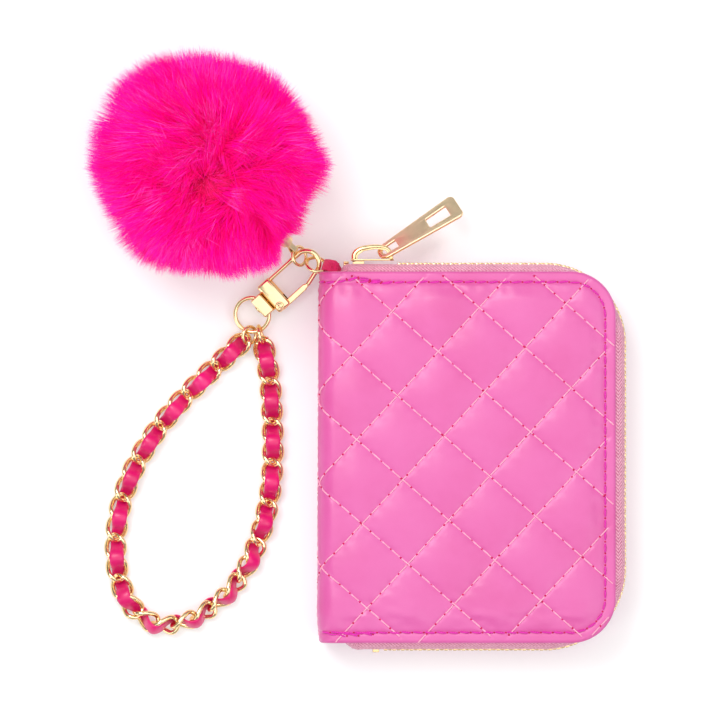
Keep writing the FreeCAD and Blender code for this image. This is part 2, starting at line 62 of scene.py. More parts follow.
# ------------------------------------------------------------------ camera
CAM_H = 3.0
VIEW_W = 0.2160
cam_data = bpy.data.cameras.new("camera")
cam = bpy.data.objects.new("camera", cam_data)
sc.collection.objects.link(cam)
cam.location = (-0.000975, -0.002745, CAM_H)
cam.rotation_euler = (0, 0, 0)
cam_data.sensor_width = 36.0
cam_data.lens = 36.0 * (CAM_H - 0.012) / VIEW_W
cam_data.clip_start, cam_data.clip_end = 0.05, 20
sc.camera = cam
sc.view_settings.view_transform = "Standard"
sc.view_settings.look = "None"


# ----------------------------------------------------------------- helpers
def unit(v):
    v = np.asarray(v, float)
    return v / (np.linalg.norm(v, axis=-1, keepdims=True) + 1e-12)


def build(name, verts, quads=None, tris=None, mats=(), mat_q=None, mat_t=None,
          smooth=True, uv=None):
    v = (np.asarray(verts, float) + SH) * 0.001
    if name != "floor":
        v[:, 2] = np.maximum(v[:, 2], 0.00002)
    v = v.astype(np.float32)
    q = np.zeros((0, 4), np.int32) if quads is None else np.asarray(quads, np.int32).reshape(-1, 4)
    t = np.zeros((0, 3), np.int32) if tris is None else np.asarray(tris, np.int32).reshape(-1, 3)
    loops = np.concatenate([q.ravel(), t.ravel()]).astype(np.int32)
    starts = np.concatenate([np.arange(len(q)) * 4, len(q) * 4 + np.arange(len(t)) * 3]).astype(np.int32)
    me = bpy.data.meshes.new(name)
    me.vertices.add(len(v))
    me.vertices.foreach_set("co", v.ravel())
    me.loops.add(len(loops))
    me.loops.foreach_set("vertex_index", loops)
    me.polygons.add(len(starts))
    me.polygons.foreach_set("loop_start", starts)
    me.polygons.foreach_set("use_smooth", np.full(len(starts), bool(smooth)))
    for m in mats:
        me.materials.append(m)
    if mat_q is not None or mat_t is not None:
        a = np.zeros(len(q), np.int32) if mat_q is None else np.asarray(mat_q, np.int32)
        b = np.zeros(len(t), np.int32) if mat_t is None else np.asarray(mat_t, np.int32)
        me.polygons.foreach_set("material_index", np.concatenate([a, b]))
    if uv is not None:
        lay = me.uv_layers.new(name="along")
        lay.data.foreach_set("uv", np.asarray(uv, np.float32)[loops].ravel())
    me.update(calc_edges=True)
    me.validate()
    ob = bpy.data.objects.new(name, me)
    sc.collection.objects.link(ob)
    return ob


class Parts:
    """Collects vertices, quads and triangles of several shells."""

    def __init__(self):
        self.v, self.q, self.t, self.mq, self.mt, self.uv, self.n = [], [], [], [], [], [], 0

    def add(self, v, q=None, t=None, mat=0, uv=None):
        v = np.asarray(v, float)
        if q is not None and len(q):
            q = np.asarray(q)
            self.q.append(q + self.n)
            self.mq.append(np.full(len(q), mat))
        if t is not None and len(t):
            t = np.asarray(t)
            self.t.append(t + self.n)
            self.mt.append(np.full(len(t), mat))
        self.v.append(v)
        self.uv.append(np.zeros((len(v), 2)) if uv is None else np.asarray(uv))
        self.n += len(v)

    def make(self, name, mats, smooth=True, uv=False):
        return build(name, np.concatenate(self.v),
                     np.concatenate(self.q) if self.q else None,
                     np.concatenate(self.t) if self.t else None, mats,
                     np.concatenate(self.mq) if self.q else None,
                     np.concatenate(self.mt) if self.t else None, smooth,
                     np.concatenate(self.uv) if uv else None)


def grid_quads(rows, cols, wrap=False, offset=0):
    r, c = np.meshgrid(np.arange(rows - 1), np.arange(cols if wrap else cols - 1), indexing="ij")
    a = r * cols + c
    b = r * cols + (c + 1) % cols
    return np.stack([a, b, b + cols, a + cols], -1).reshape(-1, 4) + offset


def frames_along(path, closed=False, up=None):
    if closed:
        tan = unit(np.roll(path, -1, 0) - np.roll(path, 1, 0))
    else:
        tan = unit(np.gradient(path, axis=0))
    nrm = np.zeros_like(path)
    if up is not None:
        up = np.asarray(up, float)
        if up.ndim == 1:
            up = np.tile(up, (len(path), 1))
        nrm = unit(up - tan * (up * tan).sum(1)[:, None])
    else:
        ref = np.array([0.0, 0, 1]) if abs(tan[0][2]) < 0.9 else np.array([1.0, 0, 0])
        n = unit(ref - tan[0] * ref.dot(tan[0]))
        for i in range(len(path)):
            n = unit(n - tan[i] * n.dot(tan[i]))
            nrm[i] = n
    return tan, nrm, np.cross(tan, nrm)


def tube(path, r, closed=False, sides=12, up=None, flat=1.0, dome=True):
    """A round (or flattened) bar along a path; open ends are domed."""
    path = np.asarray(path, float)
    r = np.broadcast_to(np.asarray(r, float), (len(path),)).copy()
    tan, a, b = frames_along(path, closed, up)
    th = np.arange(sides) / sides * 2 * math.pi
    ring = np.cos(th)[None, :, None] * a[:, None, :] + flat * np.sin(th)[None, :, None] * b[:, None, :]
    if closed:
        v = (path[:, None] + ring * r[:, None, None]).reshape(-1, 3)
        n = len(path)
        q = grid_quads(n, sides, True)
        last = np.stack([(n - 1) * sides + np.arange(sides), (n - 1) * sides + (np.arange(sides) + 1) % sides,
                         (np.arange(sides) + 1) % sides, np.arange(sides)], -1)
        return v, np.concatenate([q, last]), None
    pts, rad, rr = [path], [r], [ring]
    if dome:
        for end in (0, -1):
            e, re, s = path[end], r[end], (-1 if end == 0 else 1)
            ks = (0.38, 0.71, 0.92)
            p = np.array([e + tan[end] * s * re * k for k in ks])
            q_ = np.array([re * math.sqrt(1 - k * k) for k in ks])
            g = np.repeat(ring[end][None], 3, 0)
            if end == 0:
                pts.insert(0, p[::-1])
                rad.insert(0, q_[::-1])
                rr.insert(0, g)
            else:
                pts.append(p)
                rad.append(q_)
                rr.append(g)
    pts, rad, rr = np.concatenate(pts), np.concatenate(rad), np.concatenate(rr)
    v = (pts[:, None] + rr * rad[:, None, None]).reshape(-1, 3)
    q = grid_quads(len(pts), sides, True)
    k = len(v)
    tip0 = pts[0] - tan[0] * (r[0] * 0.08 if dome else 0)
    tip1 = pts[-1] + tan[-1] * (r[-1] * 0.08 if dome else 0)
    v = np.concatenate([v, [tip0, tip1]])
    i = np.arange(sides)
    t0 = np.stack([np.full(sides, k), (i + 1) % sides, i], -1)
    base = (len(pts) - 1) * sides
    t1 = np.stack([np.full(sides, k + 1), base + i, base + (i + 1) % sides], -1)
    return v, q, np.concatenate([t0, t1])


def circle_path(c, n, r, count=96, flatten=1.0):
    c, n = np.array(c, float), unit(n)
    ref = np.array([0.0, 0, 1]) if abs(n[2]) < 0.9 else np.array([1.0, 0, 0])
    a = unit(np.cross(ref, n))
    b = np.cross(n, a)
    th = np.arange(count) / count * 2 * math.pi
    return c + r * (np.cos(th)[:, None] * a + flatten * np.sin(th)[:, None] * b)


def smooth_path(pts, count, closed=False):
    """Catmull-Rom curve through the points, resampled evenly."""
    p = np.asarray(pts, float)
    if closed:
        p = np.concatenate([p[-1:], p, p[:2]])
    else:
        p = np.concatenate([[2 * p[0] - p[1]], p, [2 * p[-1] - p[-2]]])
    out = []
    for i in range(len(p) - 3):
        t = np.linspace(0, 1, 24, endpoint=False)[:, None]
        a, b, c, d = p[i:i + 4]
        out.append(0.5 * (2 * b + (c - a) * t + (2 * a - 5 * b + 4 * c - d) * t ** 2 + (3 * b - a - 3 * c + d) * t ** 3))
    out = np.concatenate(out + ([] if closed else [p[-2:-1]]))
    loop = np.concatenate([out, out[:1]]) if closed else out
    d = np.concatenate([[0], np.cumsum(np.linalg.norm(np.diff(loop, axis=0), axis=1))])
    t = np.linspace(0, d[-1], count + (1 if closed else 0))
    if closed:
        t = t[:-1]
    return np.stack([np.interp(t, d, loop[:, k]) for k in range(loop.shape[1])], -1)


def vnoise(x, y, seed):
    """Smooth 2-D value noise in -1..1."""
    g = np.random.default_rng(seed).uniform(-1, 1, (64, 64))
    xi, yi = np.floor(x).astype(int), np.floor(y).astype(int)
    fx, fy = x - xi, y - yi
    fx, fy = fx * fx * (3 - 2 * fx), fy * fy * (3 - 2 * fy)
    a = g[xi % 64, yi % 64]
    b = g[(xi + 1) % 64, yi % 64]
    c = g[xi % 64, (yi + 1) % 64]
    d = g[(xi + 1) % 64, (yi + 1) % 64]
    return (a * (1 - fx) + b * fx) * (1 - fy) + (c * (1 - fx) + d * fx) * fy


def sstep(a, b, x):
    t = np.clip((x - a) / (b - a), 0, 1)
    return t * t * (3 - 2 * t)


def lin(r, g, b):
    return tuple(((c / 255 + 0.055) / 1.055) ** 2.4 if c > 10 else c / 255 / 12.92 for c in (r, g, b)) + (1.0,)


# --------------------------------------------------------------- materials
def material(name, rough=0.5, metal=0.0, base=(1, 1, 1, 1)):
    m = bpy.data.materials.new(name)
    m.use_nodes = True
    nt = m.node_tree
    p = nt.nodes["Principled BSDF"]
    p.inputs["Base Color"].default_value = base
    p.inputs["Roughness"].default_value = rough
    p.inputs["Metallic"].default_value = metal
    return m, nt, p


def node(nt, kind, **kw):
    n = nt.nodes.new(kind)
    for k, v in kw.items():
        if k in n.inputs:
            n.inputs[k].default_value = v
        else:
            setattr(n, k, v)
    return n


def coords(nt, out="Object"):
    return node(nt, "ShaderNodeTexCoord").outputs[out]


def noise(nt, vec, scale, detail=3.0, rough=0.55):
    n = node(nt, "ShaderNodeTexNoise", Scale=scale, Detail=detail, Roughness=rough)
    nt.links.new(vec, n.inputs["Vector"])
    return n.outputs["Fac"]


def ramp(nt, fac, stops):
    r = nt.nodes.new("ShaderNodeValToRGB")
    e = r.color_ramp.elements
    e[0].position, e[0].color = stops[0]
    e[1].position, e[1].color = stops[-1]
    for pos, col in stops[1:-1]:
        x = e.new(pos)
        x.color = col
    nt.links.new(fac, r.inputs["Fac"])
    return r.outputs["Color"]


def grey(v):
    return (v, v, v, 1)


def math_node(nt, op, a, b=None):
    n = node(nt, "ShaderNodeMath", operation=op)
    for i, x in enumerate((a, b)):
        if x is None:
            continue
        if isinstance(x, (int, float)):
            n.inputs[i].default_value = x
        else:
            nt.links.new(x, n.inputs[i])
    return n.outputs[0]


def bump(nt, p, height, strength, distance):
    b = node(nt, "ShaderNodeBump", Strength=strength, Distance=distance)
    nt.links.new(height, b.inputs["Height"])
    nt.links.new(b.outputs["Normal"], p.inputs["Normal"])


def leather(name, main, dark, light, rough=0.38, grain=1500.0, depth=0.00006):
    """Soft coated leather: pebble grain, faint mottling, satin sheen."""
    m, nt, p = material(name, rough)
    v = coords(nt)
    tone = noise(nt, v, 45, 4)
    nt.links.new(ramp(nt, tone, [(0.25, dark), (0.5, main), (0.78, light)]), p.inputs["Base Color"])
    cells = node(nt, "ShaderNodeTexVoronoi", Scale=grain)
    nt.links.new(v, cells.inputs["Vector"])
    fine = noise(nt, v, grain * 1.7, 2)
    h = math_node(nt, "ADD", cells.outputs["Distance"], fine)
    bump(nt, p, h, 0.28, depth)
    r = ramp(nt, noise(nt, v, 260, 2), [(0.3, grey(rough - 0.05)), (0.7, grey(rough + 0.07))])
    nt.links.new(r, p.inputs["Roughness"])
    p.inputs["Sheen Weight"].default_value = 0.06
    p.inputs["Sheen Roughness"].default_value = 0.5
    p.inputs["Sheen Tint"].default_value = (1, 0.75, 0.88, 1)
    p.inputs["Coat Weight"].default_value = 0.24
    p.inputs["Coat Roughness"].default_value = 0.24
    return m


def gold(name, base=(0.95, 0.76, 0.44, 1), rough=0.17):
    """Bright light-gold plating with a faint polish grain."""
    m, nt, p = material(name, rough, 1.0)
    v = coords(nt)
    f = noise(nt, v, 420, 3)
    a = tuple(c * 0.94 for c in base[:3]) + (1,)
    b = tuple(min(1, c * 1.05) for c in base[:3]) + (1,)
    nt.links.new(ramp(nt, f, [(0.3, a), (0.7, b)]), p.inputs["Base Color"])
    r = ramp(nt, noise(nt, v, 900, 2), [(0.3, grey(rough - 0.03)), (0.75, grey(rough + 0.06))])
    nt.links.new(r, p.inputs["Roughness"])
    bump(nt, p, noise(nt, v, 260, 2), 0.06, 0.00008)
    p.inputs["Specular Tint"].default_value = (1.0, 0.62, 0.30, 1)
    return m


def fabric(name, main, dark, scale=2600.0, rough=0.8, sheen=0.3):
    """Plain woven cloth."""
    m, nt, p = material(name, rough)
    v = coords(nt)
    sep = node(nt, "ShaderNodeSeparateXYZ")
    nt.links.new(v, sep.inputs[0])
    wx = math_node(nt, "SINE", math_node(nt, "MULTIPLY", sep.outputs[0], scale))
    wy = math_node(nt, "SINE", math_node(nt, "MULTIPLY", sep.outputs[1], scale))
    w = math_node(nt, "MULTIPLY", wx, wy)
    f = math_node(nt, "MULTIPLY_ADD", w, 0.5)
    f.node.inputs[2].default_value = 0.5
    mix = math_node(nt, "ADD", math_node(nt, "MULTIPLY", f, 0.6), math_node(nt, "MULTIPLY", noise(nt, v, 300, 3), 0.4))
    nt.links.new(ramp(nt, mix, [(0.2, dark), (0.8, main)]), p.inputs["Base Color"])
    bump(nt, p, f, 0.35, 0.00008)
    p.inputs["Sheen Weight"].default_value = sheen
    return m


def tape_cloth(name, main, dark):
    """Zip tape: herringbone of fine slanting ribs, from the tape's own length and width."""
    m, nt, p = material(name, 0.75)
    uv = node(nt, "ShaderNodeUVMap", uv_map="along").outputs["UV"]
    sep = node(nt, "ShaderNodeSeparateXYZ")
    nt.links.new(uv, sep.inputs[0])
    s, t = sep.outputs[0], sep.outputs[1]
    zig = math_node(nt, "PINGPONG", t, 1.5)
    k = math_node(nt, "ADD", s, zig)
    rib = math_node(nt, "SINE", math_node(nt, "MULTIPLY", k, 2 * math.pi / 1.05))
    rib = math_node(nt, "MULTIPLY_ADD", rib, 0.5)
    rib.node.inputs[2].default_value = 0.5
    col = math_node(nt, "SUBTRACT", 1.0, math_node(nt, "SMOOTH_MIN", math_node(nt, "DIVIDE", zig, 0.12), 1.0))
    f = math_node(nt, "ADD", math_node(nt, "MULTIPLY", rib, 0.7),
                  math_node(nt, "MULTIPLY", noise(nt, coords(nt), 500, 2), 0.5))
    nt.links.new(ramp(nt, f, [(0.15, dark), (0.85, main)]), p.inputs["Base Color"])
    h = math_node(nt, "SUBTRACT", rib, math_node(nt, "MULTIPLY", col, 0.6))
    bump(nt, p, h, 0.9, 0.00022)
    p.inputs["Sheen Weight"].default_value = 0.3
    return m


def ribbed(name, main, dark, pitch=0.42):
    """Grosgrain: ribs across the tape."""
    m, nt, p = material(name, 0.7)
    uv = node(nt, "ShaderNodeUVMap", uv_map="along").outputs["UV"]
    sep = node(nt, "ShaderNodeSeparateXYZ")
    nt.links.new(uv, sep.inputs[0])
    rib = math_node(nt, "SINE", math_node(nt, "MULTIPLY", sep.outputs[0], 2 * math.pi / pitch))
    rib = math_node(nt, "MULTIPLY_ADD", rib, 0.5)
    rib.node.inputs[2].default_value = 0.5
    f = math_node(nt, "ADD", math_node(nt, "MULTIPLY", rib, 0.6),
                  math_node(nt, "MULTIPLY", noise(nt, coords(nt), 600, 2), 0.6))
    nt.links.new(ramp(nt, f, [(0.2, dark), (0.85, main)]), p.inputs["Base Color"])
    bump(nt, p, rib, 0.8, 0.00015)
    p.inputs["Sheen Weight"].default_value = 0.4
    return m


def thread(name, main, dark):
    m, nt, p = material(name, 0.55)
    v = coords(nt)
    w = node(nt, "ShaderNodeTexWave", Scale=1400.0, Distortion=1.0, Detail=1.0, bands_direction="DIAGONAL")
    nt.links.new(v, w.inputs["Vector"])
    nt.links.new(ramp(nt, w.outputs["Fac"], [(0.2, dark), (0.8, main)]), p.inputs["Base Color"])
    bump(nt, p, w.outputs["Fac"], 0.5, 0.00006)
    p.inputs["Sheen Weight"].default_value = 0.3
    return m


M_LEATHER = leather("quilted_leather", lin(217, 92, 164), lin(212, 82, 154), lin(220, 100, 170))
M_EDGE = leather("leather_turned_edge", lin(215, 90, 162), lin(210, 80, 152), lin(219, 98, 168), 0.45)
M_SUEDE = fabric("leather_backing", lin(216, 92, 150), lin(180, 60, 118), 3200, 0.9)
M_LINING = fabric("satin_lining", lin(222, 60, 140), lin(178, 30, 104), 5200, 0.45, 0.5)
M_CARDS = leather("slot_leather", lin(236, 96, 170), lin(222, 80, 152), lin(242, 110, 180), 0.5, 1900)
M_FOAM = fabric("foam", lin(244, 240, 232), lin(214, 206, 196), 1500, 0.95, 0.0)
M_BOARD = fabric("board", lin(196, 182, 160), lin(160, 146, 122), 900, 0.9, 0.0)
M_TAPE = tape_cloth("zip_tape_cloth", lin(255, 182, 208), lin(204, 84, 132))
M_TAB = ribbed("tab_webbing", lin(255, 44, 128), lin(222, 10, 88))
M_GOLD = gold("bright_gold")
M_TEETH = gold("zip_teeth_gold", (0.92, 0.72, 0.38, 1), 0.24)
M_PULL = gold("satin_gold", (0.97, 0.80, 0.52, 1), 0.38)
M_STEEL = gold("spring_steel", (0.60, 0.60, 0.62, 1), 0.28)
M_THREAD = thread("quilting_thread", lin(255, 190, 214), lin(240, 140, 180))
M_STITCH = thread("edge_thread", lin(238, 30, 186), lin(206, 8, 150))
# needle holes: a dark red that paints the shade inside each puncture
M_HOLE_SHADE, _nt, _p = material("needle_hole_shade", 0.8)
_nt.links.new(ramp(_nt, noise(_nt, coords(_nt), 3000, 1), [(0.3, lin(206, 0, 76)), (0.7, lin(228, 20, 100))]),
              _p.inputs["Base Color"])
M_RIBBON = leather("ribbon_leather", lin(222, 0, 108), lin(204, 0, 92), lin(232, 6, 124), 0.36, 2300, 0.00004)
M_RIBBON_EDGE = leather("ribbon_cut_edge", lin(226, 20, 104), lin(190, 0, 70), lin(240, 60, 140), 0.55, 2300)
M_CORD = fabric("elastic_cord", lin(200, 0, 96), lin(130, 0, 60), 4000, 0.7)
M_STUFF = fabric("stuffing", lin(250, 206, 224), lin(232, 160, 190), 1200, 0.95)
M_HIDE = fabric("fur_backing", lin(212, 0, 112), lin(120, 0, 60), 2400, 0.95, 0.1)


def softened(name, source, width, mat, body, segs=3, angle=32):
    """The CAD piece with its sharp edges rounded over, as tumbled plating is."""
    me = N[source].data.copy()
    me.materials.clear()
    me.materials.append(mat)
    ob = bpy.data.objects.new(name, me)
    sc.collection.objects.link(ob)
    for a in [a.name for a in me.attributes if a.name in ("custom_normal", "sharp_edge", "sharp_face")]:
        if a in me.attributes:
            me.attributes.remove(me.attributes[a])
    bm = bmesh.new()
    bm.from_mesh(me)
    bmesh.ops.remove_doubles(bm, verts=bm.verts, dist=2e-6)
    bmesh.ops.dissolve_limit(bm, angle_limit=math.radians(1.5), verts=bm.verts, edges=bm.edges)
    bmesh.ops.recalc_face_normals(bm, faces=bm.faces)
    for f in bm.faces:
        f.smooth = True
        f.material_index = 0
    bm.to_mesh(me)
    bm.free()
    b = ob.modifiers.new("round", "BEVEL")
    b.width = width * 0.001
    b.segments = segs
    b.limit_method = "ANGLE"
    b.angle_limit = math.radians(angle)
    b.use_clamp_overlap = True
    b.harden_normals = True
    for k in ("Color", "UVMap"):
        if k in me.uv_layers:
            me.uv_layers.remove(me.uv_layers[k])
    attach(ob, body)
    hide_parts(source)
    return ob


def paint(source, mat):
    me = N[source]
    me.data.materials.clear()
    me.data.materials.append(mat)


# ================================================================== wallet
W_X0, W_X1, W_Y0, W_Y1, MID = -12.6, 76.4, -87.45, 23.8, 11.0
RO = 13.5
ZT = 21.0
RB = 5.2
SA = W_X0 + RB
S_ARC = RB * math.pi / 2
S_MID = SA - S_ARC - (ZT - RB - MID)
ZONE = 3.6                     # half height of the spine's flexible strip
INSET = 0.9
LAT0 = np.array([-2.7, -1.314])
LA, LB = np.array([13.77, -12.03]), np.array([12.21, 13.17])
CROSS = LA[0] * LB[1] - LA[1] * LB[0]
SPA, SPB = CROSS / np.linalg.norm(LB), CROSS / np.linalg.norm(LA)
Q_PITCH, E_PITCH, E_IN = 4.0, 3.5, 3.2


def lattice(S, y):
    dx, dy = S - LAT0[0], y - LAT0[1]
    al = (dx * LB[1] - dy * LB[0]) / CROSS
    be = (LA[0] * dy - LA[1] * dx) / CROSS
    return al, be


def inside(s, y):
    """Distance in from the leather's outline, in its own flat pattern."""
    cx, cy0, cy1 = W_X1 - RO, W_Y0 + RO, W_Y1 - RO
    d = np.minimum(np.minimum(W_X1 - s, W_Y1 - y), y - W_Y0)
    m = (s > cx) & ((y > cy1) | (y < cy0))
    yy = np.where(y > cy1, y - cy1, np.where(y < cy0, y - cy0, 0))
    dc = RO - np.hypot(s - cx, yy)
    return np.where(m, dc, d)


def height(s, y, side):
    """How far the padded surface stands off the flat pattern."""
    S = s if side > 0 else 2 * S_MID - s
    al, be = lattice(S, y)
    fa, fb = al - np.round(al), be - np.round(be)
    da, db = np.abs(fa) * SPA, np.abs(fb) * SPB
    d = inside(s, y)
    dl = np.minimum(da, db)
    spine = sstep(S_MID + 3, S_MID + 20, s)
    pad = sstep(2.9, 8.5, d) * (0.45 + 0.55 * spine)
    pil = (np.sin(np.pi * np.abs(fa)) ** 0.62) * (np.sin(np.pi * np.abs(fb)) ** 0.62)
    h = 0.25 + 0.85 * (1 - np.exp(-np.maximum(d - 2.8, 0) / 7.0)) * spine
    h = h + 1.12 * pad * pil * (0.35 + 0.65 * spine)
    h = h - 0.40 * (1 - sstep(SA - S_ARC + 0.5, SA + 1.0, s))
    h = h - 0.12 * np.exp(-(dl / 0.55) ** 2)
    # puckers run away from the seams
    ta, tb = be * np.linalg.norm(LB), al * np.linalg.norm(LA)
    h = h + 0.055 * np.exp(-((da - 1.2) / 1.0) ** 2) * np.sin(2 * np.pi * ta / Q_PITCH + 1.3 * np.sign(fa)) * pad
    h = h + 0.055 * np.exp(-((db - 1.2) / 1.0) ** 2) * np.sin(2 * np.pi * tb / Q_PITCH + 1.3 * np.sign(fb)) * pad
    # needle holes
    for dd, tt in ((da, ta), (db, tb)):
        ph = (tt / Q_PITCH) - np.round(tt / Q_PITCH)
        h = h - 0.16 * np.exp(-(dd / 0.55) ** 2) * np.exp(-(ph * Q_PITCH / 0.55) ** 2)
    # sewn border
    h = h - 0.30 * np.exp(-((d - E_IN) / 0.65) ** 2)
    h = h - 0.10 * sstep(1.2, 0.3, d)
    # soft creases: long ones, and short ones along the border
    h = h + 0.10 * vnoise(s / 13 + 5, y / 16 + 9, 3) * pad
    h = h + 0.03 * vnoise(s / 3.1, y / 4.3, 4) * pad
    crease = np.exp(-((d - 5.2) / 2.2) ** 2)
    along = np.where(np.minimum(W_Y1 - y, y - W_Y0) < W_X1 - s, s, y)
    h = h + 0.13 * crease * vnoise(along / 2.3, d / 6 + 3, 5)
    low = np.exp(-((y - (W_Y0 + 9)) / 7) ** 2)
    h = h + 0.20 * low * vnoise(s / 5.0 + 2, y / 2.2 + (s * 0.05), 8) * pad
    # the spine fills out towards the bottom
    h = h + 0.35 * sstep(24, -80, y) * sstep(SA + 4, SA - 3, s) * sstep(W_Y0 + 0.5, W_Y0 + 6, y)
    return h


def base_frame(s):
    """Point (x, z) of the flat pattern bent over the spine, normal and tangent."""
    phi = np.clip((SA - s) / RB, 0, math.pi / 2)
    over = np.maximum(s - SA, 0)
    down = np.maximum(SA - S_ARC - s, 0)
    x = SA - RB * np.sin(phi) + over
    z = ZT - RB * (1 - np.cos(phi)) - down
    return x, z, -np.sin(phi), np.cos(phi)


def settled(h, nz, side):
    """The back is pressed nearly flat where it lies."""
    return h if side > 0 else np.where(h > 0, h * (1 - nz) + nz * 0.94 * np.tanh(h / 0.94), h)


def place(s, y, lift, side):
    x, z, nx, nz = base_frame(s)
    h = settled(height(s, y, side) + lift, nz, side)
    px, pz = x + nx * h, z + nz * h
    if side < 0:
        pz = 2 * MID - pz
    return np.stack([px, y, pz], -1)


def place_off(s, y, lift, side, off):
    """As place, moved by off = (along s, along y) in the surface's own plane."""
    x, z, nx, nz = base_frame(s)
    h = settled(height(s, y, side) + lift, nz, side)
    px, pz = x + nx * h + nz * off[0], z + nz * h - nx * off[0]
    if side < 0:
        pz = 2 * MID - pz
    return np.stack([px, y + off[1], pz], -1)


# rows: even between the corners, by angle round them
ang = np.linspace(0, math.pi / 2, 40)
y_in0, y_in1 = W_Y0 + INSET, W_Y1 - INSET
rr = RO - INSET
top_rows = (W_Y1 - RO) + rr * np.sin(ang)
low_rows = (W_Y0 + RO) - rr * np.sin(ang)
mid_rows = np.linspace(W_Y0 + RO, W_Y1 - RO, 168)[1:-1]
ROWS = np.concatenate([low_rows[::-1], mid_rows, top_rows])
ROW_ANG = np.concatenate([-ang[::-1], np.zeros(len(mid_rows)), ang])


def right_of(i):
    return (W_X1 - RO) + rr * math.cos(ROW_ANG[i])


S_FLEX = S_MID + ZONE
COLS = 190
TT = np.linspace(0, 1, COLS)


def skin_panel(name, side):
    P = Parts()
    S = np.stack([S_FLEX + (right_of(i) - S_FLEX) * TT for i in range(len(ROWS))])
    Y = np.repeat(ROWS[:, None], COLS, 1)
    P.add(place(S, Y, 0.0, side).reshape(-1, 3), grid_quads(len(ROWS), COLS))
    # border: bottom row, opening edge, top row
    bs = np.concatenate([S[0], S[1:-1, -1], S[-1][::-1]])
    by = np.concatenate([Y[0], Y[1:-1, -1], Y[-1][::-1]])
    a = np.concatenate([np.full(COLS, -math.pi / 2), ROW_ANG[1:-1], np.full(COLS, math.pi / 2)])
    idx = np.concatenate([np.arange(COLS), np.arange(1, len(ROWS) - 1) * COLS + COLS - 1,
                          (len(ROWS) - 1) * COLS + np.arange(COLS)[::-1]])
    os_, oy = np.cos(a), np.sin(a)
    loops = []
    for f in (22, 45, 68, 90):
        f = math.radians(f)
        e = INSET * math.sin(f)
        loops.append((e, -INSET * (1 - math.cos(f))))
    loops += [(INSET, -1.5), (INSET * 0.7, -1.95), (-1.2, -1.95), (-4.5, -1.95)]
    rows = [place_off(bs, by, 0.0, side, (0 * os_, 0 * oy))]
    for e, dn in loops:
        rows.append(place_off(bs, by, dn, side, (os_ * e, oy * e)))
    n = len(bs)
    v = np.concatenate(rows)
    q = grid_quads(len(rows), n)
    P.add(v, q[:, ::-1], mat=1)
    # inner face of the bend
    cols = 26
    Si = np.linspace(S_FLEX, SA + 6, cols)[None].repeat(40, 0)
    Yi = np.linspace(W_Y0 + 1.2, W_Y1 - 1.2, 40)[:, None].repeat(cols, 1)
    x, z, nx, nz = base_frame(Si)
    pz = z - nz * 1.25
    if side < 0:
        pz = 2 * MID - pz
    P.add(np.stack([x - nx * 1.25, Yi, pz], -1).reshape(-1, 3), grid_quads(40, cols), mat=2)
    ob = P.make(name, [M_LEATHER, M_EDGE, M_SUEDE])
    fix_normals(ob)
    return ob


def fix_normals(ob):
    """Joins coincident border vertices and makes the shell's faces agree."""
    bm = bmesh.new()
    bm.from_mesh(ob.data)
    bmesh.ops.remove_doubles(bm, verts=bm.verts, dist=1e-6)
    bmesh.ops.recalc_face_normals(bm, faces=bm.faces)
    bm.to_mesh(ob.data)
    bm.free()


def skin_spine(name):
    """The flexible strip down the spine, over the covers' hinge line."""
    P = Parts()
    cols = 19
    s = np.linspace(S_MID - ZONE, S_MID + ZONE, cols)
    half = (cols - 1) // 2

    def surf(lift, y, off):
        front = place_off(s[half:][None].repeat(len(y), 0), y[:, None].repeat(cols - half, 1), lift, 1, (0, off))
        back = place_off((2 * S_MID - s[:half])[None].repeat(len(y), 0), y[:, None].repeat(half, 1), lift, -1, (0, off))
        return np.concatenate([back, front], 1)

    P.add(surf(0.0, ROWS, 0).reshape(-1, 3), grid_quads(len(ROWS), cols))
    for yy, sgn in ((ROWS[:1], -1), (ROWS[-1:], 1)):
        rows = [surf(0.0, yy, 0)[0]]
        for f in (22, 45, 68, 90):
            f = math.radians(f)
            rows.append(surf(-INSET * (1 - math.cos(f)), yy, sgn * INSET * math.sin(f))[0])
        for e, dn in ((INSET, -1.5), (INSET * 0.7, -1.95), (-1.2, -1.95), (-4.5, -1.95)):
            rows.append(surf(dn, yy, sgn * e)[0])
        P.add(np.concatenate(rows), grid_quads(len(rows), cols), mat=1)
    y = np.linspace(W_Y0 + 1.2, W_Y1 - 1.2, 60)
    z = np.linspace(MID - ZONE, MID + ZONE, 9)
    zz, yy = np.meshgrid(z, y)
    P.add(np.stack([np.full_like(zz, W_X0 + 1.25), yy, zz], -1).reshape(-1, 3), grid_quads(60, 9), mat=2)
    ob = P.make(name, [M_LEATHER, M_EDGE, M_SUEDE])
    fix_normals(ob)
    return ob


front_skin = skin_panel("front_cover_skin", 1)
back_skin = skin_panel("back_cover_skin", -1)
spine_skin = skin_spine("spine_skin")
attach(front_skin, "wallet_front")
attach(back_skin, "wallet_back")
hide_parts("front_cover_leather")
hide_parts("back_cover_leather")


def P3(x, y, z):
    return tuple((np.array([x, y, z]) + SH) * 0.001)


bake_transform(spine_skin, "wallet_back", "wallet_front", start=P3(W_X0, -30, MID - ZONE), end=P3(W_X0, -30, MID + ZONE))


# ---------------------------------------------------------------- stitches
def stitch_mesh(P, pts, r, mat, sides=6):
    v, q, t = tube(pts, r, sides=sides)
    P.add(v, q, t, mat)


# a small dark domed dot laid over each needle hole: painted shade in the hole
def hole_shade_dot(P, c, r, mat):
    th = np.arange(6) / 6 * 2 * math.pi
    ring = np.stack([np.cos(th) * r, np.sin(th) * r, np.zeros(6)], -1)
    v = np.concatenate([c + ring + [0, 0, 0.0], [c + [0, 0, 0.06]], [c - [0, 0, 0.2]]])
    i = np.arange(6)
    t = np.concatenate([np.stack([np.full(6, 6), i, (i + 1) % 6], -1), np.stack([np.full(6, 7), (i + 1) % 6, i], -1)])
    P.add(v, None, t, mat)


quilt = {1: Parts(), -1: Parts(), 0: Parts()}


